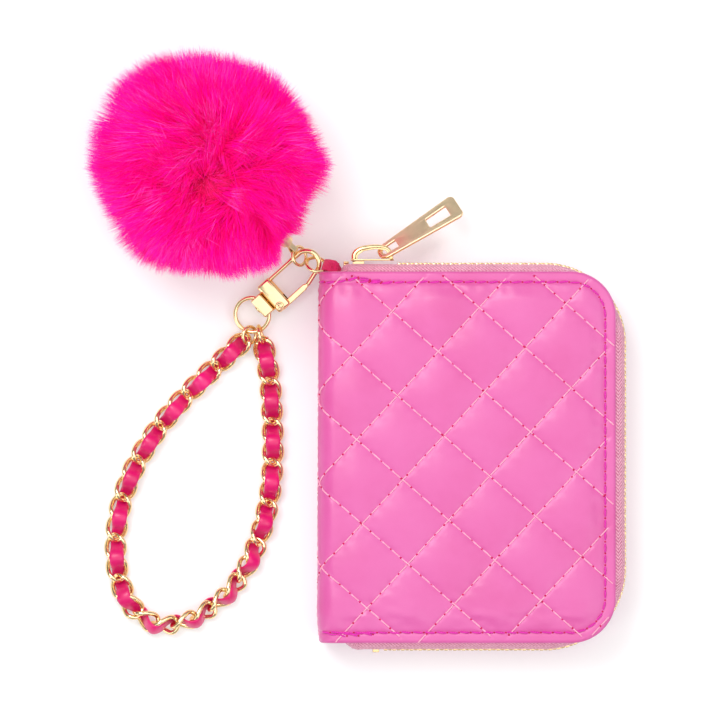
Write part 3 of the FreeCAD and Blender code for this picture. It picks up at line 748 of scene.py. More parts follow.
def flat_to_surface(S, y, lift):
    """Continuous pattern coordinate S (front beyond S_MID, back before it) to space."""
    front = S >= S_MID
    a = place(np.where(front, S, S_MID + 1), y, lift, 1)
    b = place(np.where(front, S_MID + 1, 2 * S_MID - S), y, lift, -1)
    return np.where(front[..., None], a, b)


S_END = 2 * S_MID - W_X1
for fam in (0, 1):
    step, along = (LA, LB) if fam == 0 else (LB, LA)
    L = np.linalg.norm(along)
    u = along / L
    for k in range(-30, 30):
        o = LAT0 + step * k
        for j in range(-90, 90):
            t0, t1 = j * Q_PITCH, (j + 1) * Q_PITCH
            c = o + u * (t0 + t1) / 2
            if not (W_Y0 < c[1] < W_Y1 and S_END < c[0] < W_X1):
                continue
            ts = np.linspace(t0 + 0.42, t1 - 0.42, 6)
            pts = o + u * ts[:, None]
            S, y = pts[:, 0], pts[:, 1]
            own = np.where(S >= S_MID, S, 2 * S_MID - S)
            if inside(own, y).min() < 0.15:
                continue
            side = 1 if S.min() > S_FLEX else (-1 if S.max() < 2 * S_MID - S_FLEX else 0)
            arch = 0.10 + 0.10 * np.sin(np.linspace(0, math.pi, 6))
            wob = RNG.normal(0, 0.03)
            w = flat_to_surface(S + u[1] * wob, y - u[0] * wob, arch)
            w[0] = flat_to_surface(S[:1], y[:1], -0.05)[0]
            w[-1] = flat_to_surface(S[-1:], y[-1:], -0.05)[0]
            stitch_mesh(quilt[side], w, 0.23, 0)
            hp = o + u * t0
            own = hp[0] if hp[0] >= S_MID else 2 * S_MID - hp[0]
            if side and inside(np.array([own]), np.array([hp[1]]))[0] > 0.8:
                hc = flat_to_surface(np.array([hp[0]]), np.array([hp[1]]), 0.20)[0]
                hole_shade_dot(quilt[side], hc, 0.34, 1)

names = {1: ("front_quilting_thread", "wallet_front"), -1: ("back_quilting_thread", "wallet_back"),
         0: ("spine_quilting_thread", "wallet_back")}
for side, (nm, body) in names.items():
    ob = quilt[side].make(nm, [M_THREAD, M_HOLE_SHADE])
    if side:
        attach(ob, body)
    else:
        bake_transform(ob, "wallet_back", "wallet_front", start=P3(W_X0, -30, MID - ZONE), end=P3(W_X0, -30, MID + ZONE))


def edge_path():
    """The border seam, from the spine along the top, round and back."""
    r = RO - E_IN
    pts = [(s, W_Y1 - E_IN) for s in np.arange(SA - S_ARC + 1.0, W_X1 - RO, 0.25)]
    pts += [(W_X1 - RO + r * math.sin(a), W_Y1 - RO + r * math.cos(a)) for a in np.linspace(0, math.pi / 2, 60)]
    pts += [(W_X1 - E_IN, y) for y in np.arange(W_Y1 - RO - 0.25, W_Y0 + RO, -0.25)]
    pts += [(W_X1 - RO + r * math.cos(a), W_Y0 + RO - r * math.sin(a)) for a in np.linspace(0, math.pi / 2, 60)]
    pts += [(s, W_Y0 + E_IN) for s in np.arange(W_X1 - RO - 0.25, SA - S_ARC + 1.0, -0.25)]
    return np.array(pts)


EP = edge_path()
ED = np.concatenate([[0], np.cumsum(np.linalg.norm(np.diff(EP, axis=0), axis=1))])


def seam(P, side, d0, d1, shift, phase, r=0.30):
    d = d0 + phase
    while d + E_PITCH < d1:
        t = np.linspace(d + 0.55, d + E_PITCH - 0.55, 6)
        s, y = np.interp(t, ED, EP[:, 0]), np.interp(t, ED, EP[:, 1])
        sh = shift(t) if callable(shift) else shift
        y = y + sh + np.linspace(-0.14, 0.14, 6) + RNG.normal(0, 0.05)
        w = place(s, y, 0.20 + 0.12 * np.sin(np.linspace(0, math.pi, 6)), side)
        w[0] = place(s[:1], y[:1], -0.06, side)[0]
        w[-1] = place(s[-1:], y[-1:], -0.06, side)[0]
        stitch_mesh(P, w, r, 0, 7)
        hs, hy = np.interp(d, ED, EP[:, 0]), np.interp(d, ED, EP[:, 1])
        hole_shade_dot(P, place(np.array([hs]), np.array([hy + (sh if np.isscalar(sh) else sh[0])]), 0.20, side)[0], 0.30, 1)
        d += E_PITCH


for side, nm, body in ((1, "front_edge_stitching", "wallet_front"), (-1, "back_edge_stitching", "wallet_back")):
    P = Parts()
    # a slight swerve near the start of the top seam, and a back-tack over it
    tack0, tack1 = 12.0, 27.0

    def swerve(t):
        return 1.1 * np.exp(-((t - 14.0) / 3.6) ** 2)

    seam(P, side, 0.0, ED[-1], swerve, 0.0)
    seam(P, side, tack0, tack1, lambda t: -0.45 + 0.5 * np.exp(-((t - 16) / 4.0) ** 2), 1.6)
    seam(P, side, tack0 - 2, tack1 - 5, lambda t: 0.55 + 0.9 * np.exp(-((t - 14) / 3.0) ** 2), 0.4, 0.16)
    end = ED[-1]
    seam(P, side, end - 19.0, end - 4.0, lambda t: -0.35 - 0.25 * np.sin(t), 0.9)
    seam(P, side, end - 16.0, end - 6.0, lambda t: -0.8 + 0.2 * np.sin(t * 1.7), 2.2, 0.22)
    ob = P.make(nm, [M_STITCH, M_HOLE_SHADE])
    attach(ob, body)

# --------------------------------------------------------------------- zip
ZX1, ZY1, ZY0, ZR = 79.2, 26.0, -89.4, 24.0
CX1, CY1, CY0 = ZX1 - ZR, ZY1 - ZR, ZY0 + ZR


def zip_path(step=0.9):
    pts = [(-10.6, 22.2), (-8.8, 22.2), (-7.4, 22.35), (-6.4, 23.0), (-5.75, 24.2), (-5.2, 25.3), (-4.2, 25.9)]
    pts += [(x, ZY1) for x in np.arange(-3.2, CX1, step)]
    pts += [(CX1 + ZR * math.sin(a), CY1 + ZR * math.cos(a)) for a in np.linspace(0, math.pi / 2, 34)]
    pts += [(ZX1, y) for y in np.arange(CY1 - step, CY0, -step)]
    pts += [(CX1 + ZR * math.cos(a), CY0 - ZR * math.sin(a)) for a in np.linspace(0, math.pi / 2, 34)]
    pts += [(x, ZY0) for x in np.arange(CX1 - step, 0.4, -step)]
    pts += [(-0.9, -89.6), (-2.4, -89.2), (-4.0, -88.0), (-5.6, -86.7), (-7.4, -86.0), (-10.6, -85.9)]
    return np.array(pts)


ZP = zip_path()


def tape(name, side):
    path = ZP
    tan = unit(np.gradient(path, axis=0))
    nrm = np.stack([-tan[:, 1], tan[:, 0]], -1)  # left of travel is outward
    d = np.concatenate([[0], np.cumsum(np.linalg.norm(np.diff(path, axis=0), axis=1))])
    prof = np.array([(-0.25, 11.12), (-0.02, 11.5), (-0.02, 12.6), (0.02, 13.8), (-0.02, 15.0), (-0.22, 16.2), (-0.62, 17.4),
                     (-1.2, 18.6), (-1.95, 19.5), (-2.9, 20.0), (-5.0, 20.25),
                     (-5.0, 19.8), (-3.1, 19.55), (-2.3, 19.1), (-1.65, 18.3), (-1.05, 17.2), (-0.68, 16.1),
                     (-0.46, 15.0), (-0.42, 13.8), (-0.46, 12.6), (-0.5, 11.5)])
    pd = np.concatenate([[0], np.cumsum(np.linalg.norm(np.diff(prof, axis=0), axis=1))])
    wave = 0.10 * vnoise(d / 6.0, d * 0 + 3.3, 12) + 0.05 * vnoise(d / 1.9, d * 0 + 8.1, 13)
    rows, uvs = [], []
    for k, (n, z) in enumerate(prof):
        w = wave * sstep(11.5, 15, z) * (1 - sstep(19.0, 20.0, z))
        xy = path + nrm * (n + w)[:, None]
        zz = np.full(len(path), z if side > 0 else 2 * MID - z)
        rows.append(np.column_stack([xy, zz]))
        uvs.append(np.column_stack([d, np.full(len(d), pd[k])]))
    n = len(prof)
    v = np.stack(rows, 1).reshape(-1, 3)
    uv = np.stack(uvs, 1).reshape(-1, 2)
    q = grid_quads(len(path), n, True)
    caps = []
    for base in (0, (len(path) - 1) * n):
        for i in range(n // 2 - 1):
            caps.append([base + i, base + i + 1, base + n - 2 - i, base + n - 1 - i])
    ob = build(name, v, np.concatenate([q, np.array(caps)]), None, [M_TAPE], uv=uv)
    bm = bmesh.new()
    bm.from_mesh(ob.data)
    bmesh.ops.recalc_face_normals(bm, faces=bm.faces)
    bm.to_mesh(ob.data)
    bm.free()
    return ob


for side, nm, body, src in ((1, "front_tape_cloth", "wallet_front", "front_zip_tape"),
                            (-1, "back_tape_cloth", "wallet_back", "back_zip_tape")):
    ob = tape(nm, side)
    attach(ob, body)
    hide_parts(src)


def cube_template(sx, sy, sz, r, segs=2):
    bm = bmesh.new()
    bmesh.ops.create_cube(bm, size=1.0)
    for v in bm.verts:
        v.co = Vector((v.co.x * sx, v.co.y * sy, v.co.z * sz))
    bmesh.ops.bevel(bm, geom=list(bm.edges), offset=r, segments=segs, profile=0.5, affect="EDGES")
    bm.verts.ensure_lookup_table()
    v = np.array([x.co[:] for x in bm.verts])
    q = [[x.index for x in f.verts] for f in bm.faces if len(f.verts) == 4]
    t = [[x.index for x in f.verts] for f in bm.faces if len(f.verts) == 3]
    bm.free()
    return v, np.array(q), (np.array(t) if t else None)


TEETH_START, TEETH_END, TOOTH_PITCH = 10.9, 6.2, 2.6


def stations(offset):
    arc = ZR * math.pi / 2
    lengths = [CX1 - TEETH_START, arc, CY1 - CY0, arc, CX1 - TEETH_END]
    cum = np.cumsum(lengths)
    out, s = [], 0.8 + offset
    while s < cum[-1] - 0.8:
        if s < cum[0]:
            out.append((TEETH_START + s, ZY1, 90.0))
        elif s < cum[1]:
            a = 90 - math.degrees((s - cum[0]) / ZR)
            out.append((CX1 + ZR * math.cos(math.radians(a)), CY1 + ZR * math.sin(math.radians(a)), a))
        elif s < cum[2]:
            out.append((ZX1, CY1 - (s - cum[1]), 0.0))
        elif s < cum[3]:
            a = -math.degrees((s - cum[2]) / ZR)
            out.append((CX1 + ZR * math.cos(math.radians(a)), CY0 + ZR * math.sin(math.radians(a)), a))
        else:
            out.append((CX1 - (s - cum[3]), ZY0, -90.0))
        s += TOOTH_PITCH
    return out


tooth_v, tooth_q, tooth_t = cube_template(1.3, 1.2, 2.7, 0.24)
tooth_v = tooth_v - [0.18, 0, 0]
nose_v, nose_q, nose_t = cube_template(0.9, 0.7, 0.5, 0.18)
nose_v = nose_v - [0.18, 0, 0]
for side, off, nm, src, body in ((1, 0.0, "front_teeth_row", "front_zip_teeth", "wallet_front"),
                                 (-1, 1.3, "back_teeth_row", "back_zip_teeth", "wallet_back")):
    P = Parts()
    for x, y, a in stations(off):
        c, s = math.cos(math.radians(a)), math.sin(math.radians(a))
        R = np.array([[c, -s, 0], [s, c, 0], [0, 0, 1]])
        for tv, tq, tt, zc in ((tooth_v, tooth_q, tooth_t, 12.05), (nose_v, nose_q, nose_t, 10.62)):
            w = tv @ R.T + [x, y, 0]
            w[:, 2] += zc
            if side < 0:
                w[:, 2] = 2 * MID - w[:, 2]
            P.add(w, tq if side > 0 else tq[:, ::-1], tt if (tt is None or side > 0) else tt[:, ::-1])
    ob = P.make(nm, [M_TEETH])
    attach(ob, body)
    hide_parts(src)

softened("front_top_stop_metal", "front_zip_top_stop", 0.25, M_TEETH, "wallet_front")
softened("back_top_stop_metal", "back_zip_top_stop", 0.25, M_TEETH, "wallet_back")
softened("end_stop_metal", "zip_end_stop", 0.25, M_TEETH, "wallet_back")
softened("slider_body", "zip_slider", 0.16, M_GOLD, "zip_slider")
arch_mid = smooth_path([(-1.95, 27.6), (-1.85, 29.0), (-0.9, 30.1), (0.9, 30.85), (4.5, 31.35), (7.4, 31.0), (8.9, 29.9), (9.35, 28.6), (9.3, 27.7)], 60)
v, q, t = tube(np.column_stack([arch_mid, np.full(60, MID)]), np.interp(np.linspace(0, 1, 60), [0, 0.3, 0.75, 1], [0.95, 0.85, 0.62, 0.55]), sides=20, up=(0, 0, 1), flat=0.85)
P = Parts()
P.add(v, q, t)
bridge = P.make("slider_bridge", [M_GOLD])
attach(bridge, "zip_slider")

# ---- pull: a tapered plate with rounded windows, no lettering
PULL_ROOT = np.array([6.05, 29.0, MID])
pa, proll = math.radians(32.5), math.radians(38.0)
pl = np.array([math.cos(pa), math.sin(pa), 0])
psv = np.array([math.sin(pa), -math.cos(pa), 0])
pw = psv * math.cos(proll) + np.array([0, 0, math.sin(proll)])
pn = np.cross(pl, pw)
if pn[2] < 0:
    pn = -pn
pyv = np.cross(pn, pl)


def rounded_loop(pts, radii, n=6):
    out = []
    m = len(pts)
    for i in range(m):
        p, a, b = np.array(pts[i], float), np.array(pts[i - 1], float), np.array(pts[(i + 1) % m], float)
        r = radii[i] if not np.isscalar(radii) else radii
        ua, ub = unit(a - p), unit(b - p)
        half = math.acos(np.clip(ua.dot(ub), -1, 1)) / 2
        d = r / math.tan(half)
        c = p + unit(ua + ub) * r / math.sin(half)
        s, e = p + ua * d - c, p + ub * d - c
        a0, a1 = math.atan2(s[1], s[0]), math.atan2(e[1], e[0])
        da = (a1 - a0 + math.pi) % (2 * math.pi) - math.pi
        for k in range(n + 1):
            t = a0 + da * k / n
            out.append(c + r * np.array([math.cos(t), math.sin(t)]))
    return np.array(out)


def plate_curve(name, loops, thick, bevel, to_space, mat):
    cu = bpy.data.curves.new(name, "CURVE")
    cu.dimensions = "2D"
    cu.fill_mode = "BOTH"
    for lp in loops:
        s = cu.splines.new("POLY")
        s.points.add(len(lp) - 1)
        s.points.foreach_set("co", np.column_stack([lp, np.zeros(len(lp)), np.ones(len(lp))]).ravel())
        s.use_cyclic_u = True
    cu.extrude = thick / 2 - bevel
    cu.bevel_depth = bevel
    cu.bevel_resolution = 3
    tmp = bpy.data.objects.new(name + "_c", cu)
    sc.collection.objects.link(tmp)
    bpy.context.view_layer.update()
    me = bpy.data.meshes.new_from_object(tmp.evaluated_get(bpy.context.evaluated_depsgraph_get()))
    bpy.data.objects.remove(tmp)
    v = np.zeros(len(me.vertices) * 3)
    me.vertices.foreach_get("co", v)
    v = to_space(v.reshape(-1, 3))
    me.vertices.foreach_set("co", ((v + SH) * 0.001).astype(np.float32).ravel())
    me.update()
    me.materials.clear()
    me.materials.append(mat)
    bm = bmesh.new()
    bm.from_mesh(me)
    bmesh.ops.remove_doubles(bm, verts=bm.verts, dist=2e-6)
    bmesh.ops.recalc_face_normals(bm, faces=bm.faces)
    for f in bm.faces:
        f.smooth = True
    for e in bm.edges:
        if len(e.link_faces) == 2 and e.calc_face_angle(0) > math.radians(40):
            e.smooth = False
    bm.to_mesh(me)
    bm.free()
    ob = bpy.data.objects.new(name, me)
    sc.collection.objects.link(ob)
    return ob


PL, PT = 27.4, 1.0


def pull_space(v):
    # places the plate's own coordinates (along, across, through) at the pull's root
    return PULL_ROOT + v[:, :1] * pl + v[:, 1:2] * pyv + v[:, 2:3] * pn


outer = rounded_loop([(-0.25, -1.25), (1.2, -2.35), (PL, -4.25), (PL, 4.25), (1.2, 2.35), (-0.25, 1.25)],
                     [0.5, 2.0, 1.5, 1.5, 2.0, 0.5])
slot_small = rounded_loop([(0.62, -0.7), (1.4, -1.45), (6.1, -1.62), (6.1, 1.62), (1.4, 1.45), (0.62, 0.7)],
                          [0.25, 0.6, 0.45, 0.45, 0.6, 0.25])
window = rounded_loop([(16.6, -2.0), (24.2, -2.3), (24.2, 2.3), (16.6, 2.0)], 0.55)
pull = plate_curve("pull_plate", [outer, slot_small, window], PT, 0.22, pull_space, M_PULL)
# a loop for a fine raised rim round the face, as the stamped plate has; it runs over nothing, so no rim is drawn, only
# the crossbar below
P = Parts()
for lp, inset in ():
    c = lp.mean(0)
    ring = rounded_loop([(7.6, -2.35), (15.2, -2.95), (15.2, 2.95), (7.6, 2.35)], 0.7)
    pts = pull_space(np.column_stack([ring, np.full(len(ring), PT / 2 - 0.02)]))
    v, q, t = tube(pts, 0.13, closed=True, sides=8)
    P.add(v, q)
    pts = pull_space(np.column_stack([ring, np.full(len(ring), -PT / 2 + 0.02)]))
    v, q, t = tube(pts, 0.13, closed=True, sides=8)
    P.add(v, q)
bar_pts = np.array([(0.15, -1.15), (-0.1, -0.6), (-0.16, 0.0), (-0.1, 0.6), (0.15, 1.15)])
v, q, t = tube(pull_space(np.column_stack([smooth_path(bar_pts, 20), np.zeros(20)])), 0.52, sides=14)
P.add(v, q, t)
pull_rim = P.make("pull_bar", [M_GOLD])
for o in (pull, pull_rim):
    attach(o, "zip_pull")
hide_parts("zip_pull")

# ============================================================ rings, clasp
CLASP_O = np.array([-25.96, 16.83, 4.1])
az, tl = math.radians(42.0), math.radians(13.0)
es = np.array([math.cos(az) * math.cos(tl), math.sin(az) * math.cos(tl), math.sin(tl)])
eq = np.array([-math.sin(az), math.cos(az), 0])
en = np.cross(es, eq)


def CL(p):
    p = np.asarray(p, float)
    return CLASP_O + p[..., :1] * es + p[..., 1:2] * eq + p[..., 2:3] * en


TAB_C, TAB_N, TAB_R = np.array([-13.153, 25.877, 8.315]), unit((0.219, 0.711, 0.669)), 3.1
POMR_C, POMR_N, POMR_R = np.array([-18.400, 28.532, 6.720]), unit((0.7, 0.104, 0.706)), 2.8


def ring_piece(name, source, c, n, R, r, body, flat=1.0, split=False):
    v, q, t = tube(circle_path(c, n, R), r, closed=True, sides=20, up=n, flat=flat)
    P = Parts()
    P.add(v, q)
    ob = P.make(name, [M_GOLD])
    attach(ob, body)
    if source:
        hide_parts(source)
    return ob


ring_piece("tab_ring_wire", "tab_ring", TAB_C, TAB_N, TAB_R, 0.52, "tab_ring")
ring_piece("pom_ring_wire", "pom_ring", POMR_C, POMR_N, POMR_R, 0.50, "pom_ring")

# key ring
psi = math.radians(15.0)
chord = CL((-4.48, 0, 1.6))
kg = np.array([-math.cos(az) * math.cos(psi), -math.sin(az) * math.cos(psi), -math.sin(psi)])
key_c = chord + kg * math.sqrt(5.2 ** 2 - 2.9 ** 2)
key_ax = -unit(np.cross([0, 0, 1.0], kg))
key_n = np.cross(kg, key_ax)
ring_piece("key_ring_wire", "key_ring", key_c, key_n, 5.2, 0.62, "key_ring")
ring_piece("jump_ring_left_wire", "strap_jump_ring_left", (-33.425, 4.718, 2.597), (0.659, -0.167, 0.733), 2.6, 0.52, "strap_1")
ring_piece("jump_ring_right_wire", "strap_jump_ring_right", (-30.053, 4.968, 3.136), (0.96, 0.243, 0.137), 2.6, 0.52, "strap_1")


def boolean_cut(name, body_vqt, cutters, mat, xf):
    """A rounded block with slots and bores cut through it."""
    def tmp(n, v, q, t):
        o = build(n, v, q, t, [mat], smooth=True)
        bm = bmesh.new()
        bm.from_mesh(o.data)
        bmesh.ops.recalc_face_normals(bm, faces=bm.faces)
        bm.to_mesh(o.data)
        bm.free()
        return o

    main = tmp(name, xf(body_vqt[0]), body_vqt[1], body_vqt[2])
    extra = []
    for i, c in enumerate(cutters):
        o = tmp(name + "_cut%d" % i, xf(c[0]), c[1], c[2])
        m = main.modifiers.new("cut%d" % i, "BOOLEAN")
        m.operation, m.object, m.solver = "DIFFERENCE", o, "EXACT"
        extra.append(o)
    bpy.context.view_layer.update()
    me = bpy.data.meshes.new_from_object(main.evaluated_get(bpy.context.evaluated_depsgraph_get()))
    main.modifiers.clear()
    old = main.data
    main.data = me
    bpy.data.meshes.remove(old)
    for o in extra:
        bpy.data.objects.remove(o)
    me.materials.clear()
    me.materials.append(mat)
    bm = bmesh.new()
    bm.from_mesh(me)
    for f in bm.faces:
        f.smooth = True
        f.material_index = 0
    for e in bm.edges:
        if len(e.link_faces) == 2 and e.calc_face_angle(0) > math.radians(35):
            e.smooth = False
    bm.to_mesh(me)
    bm.free()
    return main


def block(sx, sy, sz, r, c, segs=4):
    v, q, t = cube_template(sx, sy, sz, r, segs)
    return v + np.array(c), q, t


def rod(a, b, r, sides=32):
    v, q, t = tube(np.array([a, b], float), r, sides=sides, dome=False)
    return v, q, t


RIV = (-0.6, -3.6)
band = boolean_cut(
    "clasp_band", block(4.6, 10.3, 3.4, 0.75, (0, 0, 0)),
    [block(5.0, 4.2, 1.6, 0.1, (0.55, -3.7, 0), 1),
     rod((RIV[0], RIV[1], -3), (RIV[0], RIV[1], 3), 0.5),
     rod((-3, 0, 0), (-0.4, 0, 0), 0.62)], M_GOLD, CL)
# hook wire: a slim bar, thicker round the bend, with a stepped nose
hp, hr = [], []
for s in np.linspace(1.4, 13.6, 30):
    hp.append((s, 4.3, 0))
    hr.append(0.60 + 0.16 * sstep(10.5, 13.6, s))
for a in np.linspace(0, math.pi, 40)[1:]:
    hp.append((14 + 3.8 * math.sin(a), 0.5 + 3.8 * math.cos(a), 0))
    hr.append(0.76 - 0.08 * sstep(2.2, 3.1, a))
for k in np.linspace(0, 1, 12)[1:]:
    hp.append((14 - 3.9 * k, -3.3 - 1.03 * k, 0))
    hr.append(0.68)
hp = np.array(hp)
hp[:, :2] = smooth_path(hp[:, :2], len(hp))
v, q, t = tube(CL(hp), np.array(hr), sides=20, up=en)
P = Parts()
P.add(v, q, t)
hook = P.make("clasp_hook", [M_GOLD])
for o in (band, hook):
    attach(o, "clasp")
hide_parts("clasp_frame")


def lathe(name, profile, axis_o, axis_d, mat, sides=40):
    """profile: (radius, height) pairs turned about the axis."""
    d = unit(axis_d)
    ref = np.array([0.0, 0, 1]) if abs(d[2]) < 0.9 else np.array([1.0, 0, 0])
    a = unit(np.cross(ref, d))
    b = np.cross(d, a)
    th = np.arange(sides) / sides * 2 * math.pi
    ring = np.cos(th)[:, None] * a + np.sin(th)[:, None] * b
    v = np.concatenate([np.array(axis_o) + h * d + ring * max(r, 1e-3) for r, h in profile])
    ob = build(name, v, grid_quads(len(profile), sides, True), None, [mat])
    bm = bmesh.new()
    bm.from_mesh(ob.data)
    bmesh.ops.remove_doubles(bm, verts=bm.verts, dist=3e-6)
    bmesh.ops.recalc_face_normals(bm, faces=bm.faces)
    bm.to_mesh(ob.data)
    bm.free()
    return ob


riv = []
for sgn in (1, -1):
    riv += [[(0.0, 2.0), (0.36, 1.99), (0.44, 1.90), (0.52, 1.86), (0.74, 1.86), (0.82, 1.92), (0.92, 2.04), (1.12, 2.04),
             (1.26, 1.97), (1.32, 1.86), (1.32, 1.70), (0.5, 1.70), (0.49, 0.0)]]
prof = riv[0] + [(r, -h) for r, h in riv[0][::-1][1:]]
rivet = lathe("rivet_turned", prof, CL((RIV[0], RIV[1], 0)), en, M_GOLD)
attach(rivet, "clasp")
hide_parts("gate_rivet")
# spring: 2.2 turns of wire round the rivet
th = np.linspace(0, 2 * math.pi * 2.2, 80)
coil = np.column_stack([RIV[0] + 0.78 * np.cos(th), RIV[1] + 0.78 * np.sin(th), np.linspace(-0.77, -0.66, 80)])
v, q, t = tube(CL(coil), 0.05, sides=6)
P = Parts()
P.add(v, q, t)
spring = P.make("gate_spring_wire", [M_STEEL])
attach(spring, "clasp")
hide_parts("gate_spring")

# gate: flat-sided bar with a rounded eye and a stepped tip
gp = rounded_loop([(-1.4, -5.0), (8.4, -5.0), (8.55, -4.72), (9.6, -4.72), (9.6, -4.12), (8.75, -3.72), (0.6, -3.72), (0.2, -2.7), (-1.5, -2.7)],
                  [1.0, 0.1, 0.1, 0.15, 0.15, 0.3, 0.4, 0.8, 0.8], 5)
gate = plate_curve("gate_bar", [gp], 1.34, 0.3, lambda v: CL(v), M_GOLD)
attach(gate, "gate")
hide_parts("clasp_gate")

softened("swivel_bracket_cast", "swivel_bracket", 0.28, M_GOLD, "swivel", 4)
pin = lathe("swivel_pin_turned", [(0.0, -6.95), (0.9, -6.93), (1.22, -6.82), (1.34, -6.6), (1.34, -6.35), (1.2, -6.18), (0.52, -6.1),
                                  (0.5, -1.5), (0.6, -1.4), (1.05, -1.35), (1.1, -1.2), (1.1, -0.7), (0.0, -0.62)],
            CLASP_O, es, M_GOLD)
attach(pin, "swivel")
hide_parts("swivel_pin")

softened("pom_bail_plate", "pom_bail", 0.14, M_PULL, "pom", 3)
softened("pom_cap_cup", "pom_cap", 0.3, M_PULL, "pom", 3)

# --------------------------------------------------------------------- tab
tab_dir = unit(np.array([1, -0.25, 0.35]) - TAB_N * np.array([1, -0.25, 0.35]).dot(TAB_N))
TAB_P = TAB_C + tab_dir * TAB_R
TAB_AX = np.cross(TAB_N, tab_dir)
WD = unit(np.array([0.30, 0.86, -0.42]))
leg = unit(np.array([0.93, 0.02, 0.36]) - WD * np.array([0.93, 0.02, 0.36]).dot(WD))
up_t = np.cross(leg, WD)
if up_t[2] < 0:
    up_t = -up_t
# fold path in the (leg, up) plane: under layer, round the wire, over layer, down into the seam
fold = smooth_path([(4.4, -1.1), (3.1, -0.75), (1.6, -0.95), (0.3, -1.05), (-0.75, -0.75), (-1.12, 0.05), (-0.75, 0.85), (0.2, 1.12),
                    (1.5, 1.05), (2.8, 0.75), (3.9, 0.15), (4.5, -0.7)], 64)
fd = np.concatenate([[0], np.cumsum(np.linalg.norm(np.diff(fold, axis=0), axis=1))])
P = Parts()
WN = 15
tang = unit(np.gradient(fold, axis=0))
fn = np.stack([tang[:, 1], -tang[:, 0]], -1)
for layer, th_ in ((0, 0.0), (1, 0.42)):
    rows, uvs = [], []
    for i in range(len(fold)):
        x = fold[i, 0]
        hi = 2.75 - 1.9 * sstep(2.6, 5.2, x) * (1 + 0.0 * x)
        lo = -1.0 - 0.6 * sstep(0.5, 3.0, x)
        w = np.linspace(lo, hi, WN)
        edge = 0.10 * (np.abs(np.linspace(-1, 1, WN)) ** 8)
        pp = fold[i] - fn[i] * (th_ * (1 - 0) - 0.21)
        sag = 0.18 * np.sin(np.linspace(0, math.pi, WN)) * (1 if fold[i, 1] > 0 else -1)
        rows.append(TAB_P + pp[0] * leg + (pp[1] + sag[:, None]) * up_t + w[:, None] * WD + (edge[:, None] * 0) * up_t)
        uvs.append(np.column_stack([np.full(WN, fd[i]), w]))
    P.add(np.concatenate(rows), grid_quads(len(fold), WN)[:, ::(1 if layer else -1)], uv=np.concatenate(uvs))
n = len(fold)
edges_q = []
for a in (0, WN - 1):
    for i in range(n - 1):
        edges_q.append([i * WN + a, (i + 1) * WN + a, n * WN + (i + 1) * WN + a, n * WN + i * WN + a])
P.q.append(np.array(edges_q))
P.mq.append(np.zeros(len(edges_q), int))
# the stem that runs down between the covers
stem = []
for k in np.linspace(0, 1, 10):
    y = 26.4 - 9.5 * k
    stem.append([(-8.75, y, 9.75), (-6.35, y, 9.75), (-6.35, y, 10.85), (-8.75, y, 10.85)])
P.add(np.array(stem).reshape(-1, 3), grid_quads(10, 4, True), None, 0,
      uv=np.column_stack([np.repeat(np.linspace(0, 9.5, 10), 4), np.tile([0, 1, 2, 3], 10)]))
tab = P.make("tab_webbing_loop", [M_TAB], uv=True)
bm = bmesh.new()
bm.from_mesh(tab.data)
bmesh.ops.recalc_face_normals(bm, faces=bm.faces)
bm.to_mesh(tab.data)
bm.free()
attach(tab, "wallet_back")
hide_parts("tab_loop")

# ================================================================== strap
STRAP = np.array((
    (-34.425, 3.840), (-38.906, -0.349), (-43.374, -4.551), (-47.833, -8.764),
    (-52.194, -13.077), (-56.329, -17.608), (-60.189, -22.375), (-63.726, -27.385),
    (-66.850, -32.664), (-69.484, -38.204), (-71.550, -43.979), (-72.963, -49.948),
    (-73.696, -56.038), (-73.710, -62.172), (-72.833, -68.243), (-70.767, -74.018),
    (-67.196, -79.005), (-61.939, -82.166), (-55.810, -82.411), (-50.013, -80.407),
    (-44.780, -77.207), (-40.143, -73.192), (-36.276, -68.431), (-33.249, -63.096),
    (-30.883, -57.436), (-29.013, -51.595), (-27.636, -45.617), (-26.772, -39.545),
    (-26.366, -33.424), (-26.313, -27.291), (-26.474, -21.159), (-26.746, -15.031),
    (-27.236, -8.917), (-28.187, -2.857), (-29.565, 3.120)))
ROLL_AT = [(0, 0), (14, 0), (15, 12), (16, 34), (17, 52), (18, 58), (20, 58), (21, 55), (22, 48), (23, 36), (24, 22), (26, 8), (28, 0), (34, 0)]
ROLL = np.radians(np.interp(np.arange(35), *zip(*ROLL_AT)))
PITCH = float(np.linalg.norm(STRAP[1] - STRAP[0]))
C3 = np.column_stack([STRAP, 3.05 + 0.75 * np.sin(ROLL)])
LW, LR, L_TILT = 0.70, 2.72, math.radians(43)
HALF = (PITCH + 2 * LW + 0.3) / 2
RUN = HALF - LR


def strap_axes(i):
    """Tangent, width and face directions of the chain at crossing i (may be fractional)."""
    i0 = int(np.clip(math.floor(i), 0, 33))
    f = i - i0
    a, b = C3[max(i0 - 1, 0)], C3[min(i0 + 1, 34)]
    c, d = C3[i0], C3[min(i0 + 2, 34)]
    t = unit(unit(b - a) * (1 - f) + unit(d - c) * f)
    rho = ROLL[i0] * (1 - f) + ROLL[i0 + 1] * f
    lat = unit(np.array([-t[1], t[0], 0]))
    zz = np.cross(t, lat)
    return t, lat * math.cos(rho) + zz * math.sin(rho), zz * math.cos(rho) - lat * math.sin(rho)


def centre(i):
    i0 = int(np.clip(math.floor(i), 0, 33))
    f = i - i0
    return C3[i0] * (1 - f) + C3[i0 + 1] * f


